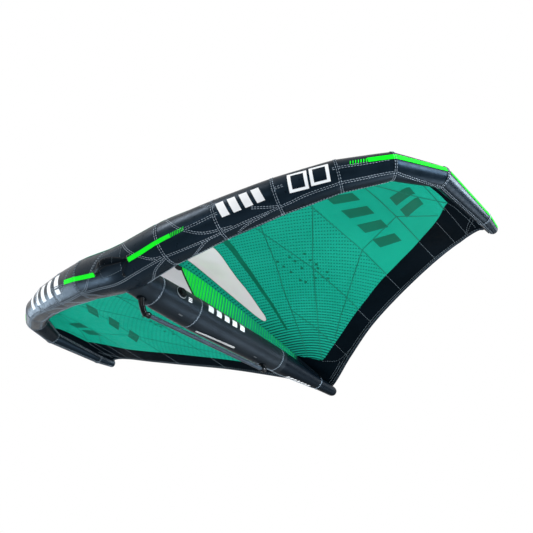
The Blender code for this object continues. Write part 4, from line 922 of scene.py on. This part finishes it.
# Tapes and stitch rows on the strut
for y in RING_Y[:-1]:
    line = np.stack([y - slant(full) * np.interp(y, RING_Y, SLANTED), full], 1)
    taped(placed(strut, line, 1.0), 0.018, 0.0012, 0.0012, 0.0024, 0.0085, 0.003, 0.0026)
ring = saddle(strut(0.0, full, 0.0, False), 0.012)
radial = unit(ring * (1, 0, 1) + (0, 0, STRUT_DROP))
thread.stitches(ring + radial * 0.0035, radial)
thread.stitches(ring + radial * 0.003 + (0, 0.011, 0), radial)
taped(on(strut, ((1.06, -98.0), (1.181, -98.8), (1.387, -104.9), (1.75, -104))), 0.016, 0.001, 0.0, 0.0042)
tapes.make("seam_tapes", "seam_tape", "sleeve_slate", sharp=60)
thread.make("stitching", "thread_light", "sleeve_slate", sharp=40)
edge_rows.make("band_stitching", "thread_grey", "band_black", sharp=40)

# Green stripes with bars that fade out
green = Bag()


def stripe(side, wide, narrow, *line):
    """A stripe along a line of tube places, from its first width to its last."""
    p, n = on(tube, line, side)
    green.ribbon(p, n, np.linspace(wide, narrow, len(p)), 0.0026, 0.0008, 7)


def fading(side, start, end, count, half):
    """Bars of shrinking width that end a stripe; half is half their height in degrees."""
    first, last = ((s - 0.01, f + half) for s, f in (start, end))
    bars(green, tube, first, last, count, (0.02, -2 * half), (0, 0), 0.44, 5, side, 0.16, 2)


stripe(1.0, 0.024, 0.02, (0.4, 31.6), (0.65, 31.0), (0.8, 29.8), (1.0, 28.2), (1.24, 26.4))
fading(1.0, (1.252, 26.3), (1.5, 23.4), 8, 5.2)
stripe(-1.0, 0.0235, 0.0235, (0.4, 30.6), (0.82, 27.2), (1.1, 24.2), (1.4, 21.0))
for side in SIDES:
    stripe(side, 0.025, 0.025, (4.535, -3.0), (4.8, -2.6), (5.0, -2.2))
    stripe(side, 0.025, 0.02, (5.0, -2.2), (5.4, -4.0), (5.96, -8.0))
    stripe(side, 0.015, 0.013, (6.04, -7.0), (6.5, -1.0), (6.97, 5.5))
    stripe(side, 0.012, 0.01, (7.03, 5.0), (7.5, 3.0), (7.9, 1.0))
    fading(side, (4.522, -3.0), (4.2, -1.5), 7, 9.5)
green.make("green_stripes", "print_green", "profile_green", sharp=60)


# White blocks and outlines in place of the printed marks, and lighter grey patches on the strut painted as
# highlights
def edges(corners):
    """Each corner of an outline with the next one."""
    return [*zip(corners, [*corners[1:], corners[0]])]


white, painted_highlights = Bag(), Bag()
bars(white, tube, (2.12, 37.5), (2.9, 36.5), 4, (-0.03, -46.0), (-0.02, 0.0), 0.66, 8)
for s in (3.22, 3.56):
    outer = [(s, 42.0), (s + 0.3, 46.0), (s + 0.33, -19.0), (s + 0.03, -22.0)]
    c = np.mean(outer, 0)
    inner = [tuple(c + (np.array(q) - c) * (0.66, 0.74)) for q in outer]
    for (a, b), (d, e) in zip(edges(outer), edges(inner)):
        white.patch(tube, [a, b, e, d], *PRINT, 8, 1)
bars(white, tube, (1.66, 46.0), (3.6, 44.0), 5, (0.0, -62.0), (0.06, 0.0), 0.5, 8, -1.0)
bars(white, strut, (0.545, 29.0), (0.895, 29.0), 5, (0.0, -31.0), (-0.008, 0.0))
bars(white, strut, (1.4, -84.0), (1.66, -84.0), 7, (0.0, -24.0), (-0.012, 0.0))
p, n = on(strut, ((0.537, -89.5), (0.605, -85.4), (0.684, -82.0), (0.764, -78.5), (0.841, -75.7)))
for beside in BESIDE:
    white.ribbon(p + np.cross(n, tangents(p)) * (0.004 * beside), n, 0.0036, 0.0008, 0.0014)
# Two lighter grey patches on the strut's underside are painted highlights, where light glints on the strut
for y, b in ((0.355, -66), (1.014, -72)):
    painted_highlights.patch(strut, box(y, y + 0.028, b, b + 4), *PRINT, 2, 2)
for b in (8.0, 1.5, -5.0):
    white.patch(strut, box(0.376, 0.404, b, b - 3.5), *PRINT, 2, 1)
painted_highlights.make("painted_highlight_patches", "painted_highlight_grey", "sleeve_slate", sharp=60)
white.make("white_marks", "print_white", "sleeve_slate", sharp=60)

# Profile panel between canopy and strut, with its black piping and front tab
FOOT_Y, TOP_Y, END_Y = 0.268 * CHORD, 0.196 * CHORD, 0.91 * CHORD
ACROSS = np.array([1.0, 0.0, 0.0])


def spine(y):
    """Height of the canopy over the strut's line."""
    line = canopy(np.zeros(200), np.linspace(0, 1, 200))
    return np.interp(y, line[:, 1], line[:, 2]) - 0.0008


def strut_top(y):
    """Height of the strut's upper side."""
    return strut(y, 90.0)[..., 2] + 0.0006


def upright(bag, y, z, thick):
    """A sheet in the wing's plane of symmetry, through a grid of places."""
    p = np.stack([np.zeros_like(y), y, z], -1)
    bag.slab(p, np.broadcast_to(ACROSS, p.shape), quads(*y.shape), thick)


share, rows = np.linspace(0, 1, 60), np.linspace(0, 1, 12)[None]
low_y, high_y = FOOT_Y + (END_Y - FOOT_Y) * share, TOP_Y + (END_Y - TOP_Y) * share
height = spine(high_y) - strut_top(low_y)
panel = Bag()
upright(panel, low_y[:, None] + (high_y - low_y)[:, None] * rows,
        strut_top(low_y)[:, None] + height[:, None] * rows, CLOTH)
piece = panel.make("profile_cloth", "profile_print", "profile_green", stands=["profile_panel"], sharp=60)

piping = Bag()
top_z, foot_z = float(spine(TOP_Y)), float(strut_top(FOOT_Y))
front = ((0, TOP_Y, top_z - 0.004), (0, (TOP_Y + FOOT_Y) / 2 - 0.006, top_z * 0.52 + 0.022),
         (0, FOOT_Y, foot_z + 0.004))
piping.sweep(curve(front, 10), 0.0042, 0.0042, ACROSS, 12)
piping.sweep(np.stack([np.zeros(60), low_y, strut_top(low_y) + 0.002], 1), 0.0035, 0.002, ACROSS, 10)
tab_y = np.linspace(TOP_Y - 0.05, TOP_Y + 0.012, 13)[:, None]
depth = 0.03 * np.sqrt(np.clip(1 - ((tab_y - tab_y.mean()) / 0.036) ** 2, 0.05, 1))
tab_z = spine(tab_y) - 0.001 - depth * np.linspace(0, 1, 6)
upright(piping, np.repeat(tab_y, 6, 1), tab_z, 0.0045)
piping.make("profile_piping", "webbing_dark", "webbing_black", stands=["profile_front_tab"], sharp=50)

# Boom bar with its end caps, and the two moulded brackets
BAR_HALF, BAR_R, BAR_WALL = np.array([0.0, 0.49957, 0.02137]), 0.012, 0.0016
BAR_A, BAR_B = ORIGIN - BAR_HALF, ORIGIN + BAR_HALF
DIRECTION = unit(BAR_HALF)
OVER = unit(np.cross(ACROSS, DIRECTION))
bar = Bag()
stations = [0.0, *np.linspace(0.002, 0.998, 60), 1.0]
outer = [(t, BAR_R - (0.0004 if t in (0.0, 1.0) else 0.0)) for t in stations]
inner = [(t, BAR_R - BAR_WALL) for t in stations[::-1]]
bar.ring([BAR_A + (BAR_B - BAR_A) * t + circle(ACROSS, OVER, r, 48) for t, r in (*outer, *inner)])
bar.make("boom_tube", "bar_finish", "bar_grey", stands=["boom_bar"], sharp=50)


def bracket(word, end, away, foot_y, size):
    """An elbow from a sewn pad under the strut to a socket that takes the end of the bar."""
    bag, pad, screws = Bag(), Bag(), Bag()
    share = np.linspace(0, 1, 21)
    foot = strut(foot_y, -90.0, -0.006)
    target = end + away * 0.004 + OVER * 0.001
    path = foot + (target - foot) * share[:, None] + away * (0.005 * size * np.sin(np.pi * share))[:, None]
    flare = np.array([1.12, 1.06, 1.02, *np.ones(18)]) * size
    wide, deep = 0.019 * flare * (1.0 - 0.22 * share), 0.015 * flare * (1.0 - 0.16 * share)
    bag.sweep(path, wide, deep, ACROSS, 32, 0.85)
    bag.lathe(end, away, OVER, ((0.0006, 0.0085), (0.009, 0.0082), (0.014, 0.0062), (0.0163, 0.002),
                                (0.0166, -0.004), (0.0158, -0.007), (0.0158, -0.026), (0.0168, -0.028),
                                (0.0168, -0.033), (0.0156, -0.0345), (0.0124, -0.0345), (0.0124, 0.0052),
                                (0.0006, 0.0052)))
    bag.make("boom_bracket_%s_shape" % word, "bracket_gloss", "bracket_black",
             stands=["boom_bracket_" + word], sharp=50)
    r, q = np.meshgrid(np.linspace(0.02, 1, 7), turns(40), indexing="ij")
    y = foot_y + 0.028 * size * r * np.cos(q)
    b = -90.0 + np.degrees(0.024 * size * r * np.sin(q) / STRUT_R)
    rise = 0.0035 * np.sqrt(np.clip(1.02 - r**4, 0, 1))
    pad.slab(strut(y, b, 0.0006 + rise / 2), outward(strut, y, b), quads(7, 40, True), 0.0022)
    pad.make("bracket_pad_" + word, "grip_pad", "bracket_black", sharp=50)
    for x in BESIDE:
        screws.lathe(end - away * 0.016 + ACROSS * (x * 0.0152), (x, 0, 0), DIRECTION,
                     ((0.0008, 0.0006), (0.0022, 0.0006), (0.0026, 0.0014), (0.0038, 0.0014),
                      (0.0042, 0.0006), (0.0042, -0.0015), (0.0008, -0.0015)), 24)
    screws.make("bracket_screws_" + word, "screw_steel", "bracket_black", sharp=40)
    paint("boom_plug_" + word, "bracket_gloss")


bracket("front", BAR_A, -DIRECTION, 0.122, 1.0)
bracket("rear", BAR_B, DIRECTION, 1.136, 0.85)

# Front handle: a padded band with piped edges, sewn channels and webbing ends
HANDLE_HALF, HANDLE_FOOT, HANDLE_RISE = 0.104, 0.0096, 0.036
CHANNELS = (0.26, 0.42, 0.58, 0.74)
share = np.linspace(0, 1, 49)
arch = np.sin(np.pi * share) ** 1.3
stand = HANDLE_FOOT + (HANDLE_RISE - HANDLE_FOOT) * arch
path = front_point(HANDLE_HALF * (2 * share - 1), 27.0 - 10.0 * arch, stand)
swell = np.minimum(arch * 1.25, 1.0)
wide, deep = 0.0065 + 0.0145 * swell, 0.0062 + 0.0046 * swell
dips = 1.0 - 0.13 * sum(np.exp(-((share - c) / 0.01) ** 2) for c in CHANNELS)
lean = math.radians(17.0)
hint = np.array([0.0, math.sin(lean), -math.cos(lean)])
pad, trim, trim_rows = Bag(), Bag(), Bag()
pad.sweep(path, wide, deep * dips, hint, 36, 0.85)
pad.make("front_handle_pad", "grip_pad", "grip_black", "front_handle", ["front_handle"])
t = tangents(path)
edge = unit(hint - t * (t @ hint)[:, None])
out = np.cross(t, edge)
if out[24, 1] > 0:
    out = -out
for beside in BESIDE:
    trim.sweep((path + edge * (wide * 0.985 * beside)[:, None])[5:-5], 0.0024, 0.0024, hint, 10)
trim.make("front_handle_piping", "webbing_dark", "webbing_black", "front_handle")
row = np.linspace(-0.8, 0.8, 14)[:, None]
for c in CHANNELS:
    k = int(c * 48)
    line = path[k] + edge[k] * wide[k] * row + out[k] * (deep[k] * 0.9 * np.sqrt(1 - 0.55 * row**2))
    trim_rows.stitches(line, np.repeat(out[k][None], 14, 0), 0.005, 0.0025, *FINE)
trim_rows.make("front_handle_rows", "thread_grey", "webbing_black", "front_handle", sharp=40)

tabs, tab_rows = Bag(), Bag()
for side in SIDES:
    centre = HANDLE_HALF + 0.01
    for lift, long, wide in ((0.0005, 0.02, 10.0), (0.0016, 0.016, 8.0)):
        low, high = (centre - long) / SPAN[1] * side, (centre + long) / SPAN[1] * side
        tabs.patch(plain_tube, box(low, high, 27 - wide, 27 + wide), lift, 0.0011, 8, 8)
    for (xa, fa), (xb, fb) in edges(box(centre - 0.005, centre + 0.014, 21, 33)):
        x, f = np.linspace(xa, xb, 8) * side, np.linspace(fa, fb, 8)
        tab_rows.stitches(front_point(x, f, 0.0029), outward(tube, x / SPAN[1], f), 0.004, 0.0022, *FINE)
tabs.make("handle_webbing_ends", "webbing_dark", "webbing_black",
          stands=["handle_tab_left", "handle_tab_right"], sharp=50)
tab_rows.make("handle_webbing_rows", "thread_light", "webbing_black", sharp=40)

# Lighter padded patch under the handle, and its outline of stitches
backing, backing_rows = Bag(), Bag()
backing.patch(tube, [(-0.3, -14), (0.3, -14), (0.24, 46), (-0.24, 46)], 0.0004, 0.001, 16, 16)
backing.make("handle_backing", "pad_light", "sleeve_slate", sharp=50)
for line in edges([(-0.28, -12), (0.28, -12), (0.225, 44), (-0.225, 44)]):
    p, n = on(tube, line)
    backing_rows.stitches(p + n * 0.0013, n)
backing_rows.make("handle_backing_rows", "thread_grey", "sleeve_slate", sharp=40)

# Leash loop with its low tab
HIGH_END, LOW_END = (0.106, 33.5), (0.056, 58.0)
a, b = front_point(*HIGH_END, 0.006), front_point(*LOW_END, 0.0056)
out = unit(sum(outward(tube, x / SPAN[1], f) for x, f in (HIGH_END, LOW_END)))
share = np.linspace(0, 1, 33)
path = a + (b - a) * share[:, None] + out * (0.02 * np.sin(np.pi * share) ** 1.3)[:, None]
loop, tab, tab_rows = Bag(), Bag(), Bag()
loop.sweep(path, 0.0027, 0.0027, unit(np.cross(b - a, out)), 14)
loop.make("leash_cord", "cord_rubber", "cord_black", "leash_loop", ["leash_loop"])
s, w = LOW_END[0] / SPAN[1], 0.007 / SPAN[1]
tab.patch(plain_tube, box(s - w, s + w, 53, 63), 0.0005, 0.002, 6, 6)
tab.make("leash_tab", "webbing_dark", "webbing_black", stands=["leash_tab_low"], sharp=50)
row = np.linspace(s - w * 0.8, s + w * 0.8, 8)
for f in (54.5, 61.5):
    tab_rows.stitches(plain_tube(row, f, 0.0026), outward(tube, row, np.full(8, f)), 0.0035, 0.0015, *FINE)
tab_rows.make("leash_tab_rows", "thread_light", "webbing_black", sharp=40)

# Inflation valve: sewn flange, threaded neck, and a cap with a ribbed rim on its strap
VALVE_TURN, CAP_FOOT = 10.0, 0.0143
seat = strut(0.167 * CHORD, VALVE_TURN, 0.0, False)
normal = np.array([math.cos(math.radians(VALVE_TURN)), 0.0, math.sin(math.radians(VALVE_TURN))])
aft = np.array([0.0, 1.0, 0.0])
base, halo, cap = Bag(), Bag(), Bag()
base.lathe(seat, normal, aft,
           ((0.013, -0.004), (0.03, -0.004), (0.0318, 0.002), (0.0318, 0.0056), (0.03, 0.007),
            (0.024, 0.007), (0.0225, 0.0062), (0.0205, 0.0062), (0.018, 0.007), (0.018, 0.0086),
            (0.0174, 0.0092), (0.018, 0.0098), (0.0174, 0.0106), (0.018, 0.0114), (0.0176, 0.0138),
            (0.0132, 0.0138), (0.013, 0.013)), 72)
base.make("valve_body", "valve_plastic", "valve_black", stands=["valve_base"], sharp=40)
halo.lathe(seat, normal, aft, ((0.0322, 0.0006), (0.0352, 0.0004), (0.0352, 0.0028), (0.0322, 0.0034)), 72)
halo.make("valve_flange_ring", "valve_ring", "valve_black", sharp=40)
outline = ((0.0006, 0.0), (0.019, 0.0), (0.0203, 0.0006), (0.0203, 0.0036), (0.019, 0.0045),
           (0.015, 0.0045), (0.0144, 0.0036), (0.0006, 0.0036))
cap.lathe(seat + normal * CAP_FOOT, normal, aft, outline, 120,
          lambda turn, r: np.where(r > 0.0185, 0.0005 * np.sign(np.sin(turn * 30)), 0.0))
for start, end, count, up, wide, deep in ((-0.0138, 0.0138, 9, 0.0028, 0.0022, 0.0012),
                                          (0.019, 0.0234, 7, 0.002, 0.0036, 0.0014)):
    path = seat + normal * (CAP_FOOT + up) + aft * np.linspace(start, end, count)[:, None]
    cap.sweep(path, wide, deep, np.cross(normal, aft), 12)
cap.make("valve_cap_shape", "valve_plastic", "valve_black", "valve_cap", ["valve_cap"], 40)
paint("valve_cap_anchor", "valve_plastic")

# Camera, floor and light
CAMERA_ROWS = np.array([[0.79391089, 0.60786788, 0.01421735], [-0.31117991, 0.42628517, -0.84938096],
                        [-0.52237205, 0.66990864, 0.52758871]])
IMAGE, FOCAL, SENSOR = 533.0, 714.777, 36.0
lens = bpy.data.cameras.new("photo_camera")
lens.sensor_width, lens.lens = SENSOR, FOCAL / IMAGE * SENSOR
lens.clip_start, lens.clip_end = 0.05, 200.0
right, down, ahead = unit(CAMERA_ROWS)
bpy.context.scene.camera = place("photo_camera", lens, (right, -down, -ahead), EYE - ORIGIN)

FLOOR_Z, FLOOR_HALF = -4.2, 40.0
ground = bpy.data.meshes.new("floor")
corners = [(x, y, FLOOR_Z) for x, y in box(-FLOOR_HALF, FLOOR_HALF, -FLOOR_HALF, FLOOR_HALF)]
ground.from_pydata(corners, [], [(0, 1, 2, 3)])
pale = Mat("floor_pale", (0.84, 0.84, 0.84), 0.9)
pale.set("Base Color", pale.mix(pale.noise(0.7, 2.0), (0.83, 0.83, 0.83), (0.86, 0.86, 0.86)))
ground.materials.append(MATS["floor_pale"])
place("floor", ground)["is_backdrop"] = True

# The camera, glass and gloss see a white background; the cloth is lit by a weaker one
world = bpy.data.worlds.new("studio")
world.use_nodes = True
bpy.context.scene.world = world
sky = Nodes(world.node_tree)
background = sky.tree.nodes["Background"]
background.inputs["Color"].default_value = (1.0, 1.0, 1.0, 1.0)
rays = sky.node("LightPath").outputs
seen = sky.math("MAXIMUM", rays["Is Camera Ray"], rays["Is Transmission Ray"])
seen = sky.math("MAXIMUM", seen, rays["Is Glossy Ray"])
level = sky.node("MapRange", Value=seen)
level.inputs["To Min"].default_value = 0.2
sky.put(background.inputs["Strength"], level.outputs["Result"])

# Lamps: name, place, what it is aimed at, size, power and colour
COOL = (0.8, 0.91, 1.0)
for name, at, aim, size, power, colour in (
        ("key", (-1.6, -4.8, 5.0), (0.2, 0.0, 0.2), 2.8, 330.0, (1.0, 1.0, 1.0)),
        ("right", (6.0, 2.2, 3.6), (0.6, 0.2, 0.2), 3.2, 220.0, (1.0, 1.0, 1.0)),
        ("tip_right", (3.85, -0.1, 0.75), (1.45, -0.17, 0.45), 1.2, 125.0, COOL),
        ("tip_aft", (3.4, 1.75, 0.95), (1.53, 0.19, 0.46), 1.2, 125.0, COOL),
        ("rear_right", (3.2, 4.5, 0.9), (0.06, 0.74, 0.12), 1.4, 26.0, COOL),
        ("left", (-7.0, -0.2, 0.0), (-0.3, 0.0, 0.3), 3.2, 140.0, (0.6, 0.8, 1.0)),
        ("lower_left", (-4.6, -2.1, -2.1), (-0.2, -0.7, 0.1), 1.5, 98.0, (0.66, 0.84, 1.0)),
        ("front", (0.6, -6.8, -0.6), (0.2, 0.0, 0.3), 3.5, 150.0, (1.0, 1.0, 1.0)),
        ("under_right", (2.6, 3.2, -2.7), (0.1, 0.0, 0.1), 3.0, 175.0, (1.0, 1.0, 1.0))):
    light = bpy.data.lights.new(name, "AREA")
    light.shape, light.size, light.energy, light.color = "DISK", size, power, colour
    back = unit(np.array(at) - aim)
    level_axis = unit(np.cross([0.0, 0.0, 1.0], back))
    place(name, light, (level_axis, np.cross(back, level_axis), back), at)

bpy.context.scene.view_settings.view_transform = "Standard"

low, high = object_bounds()
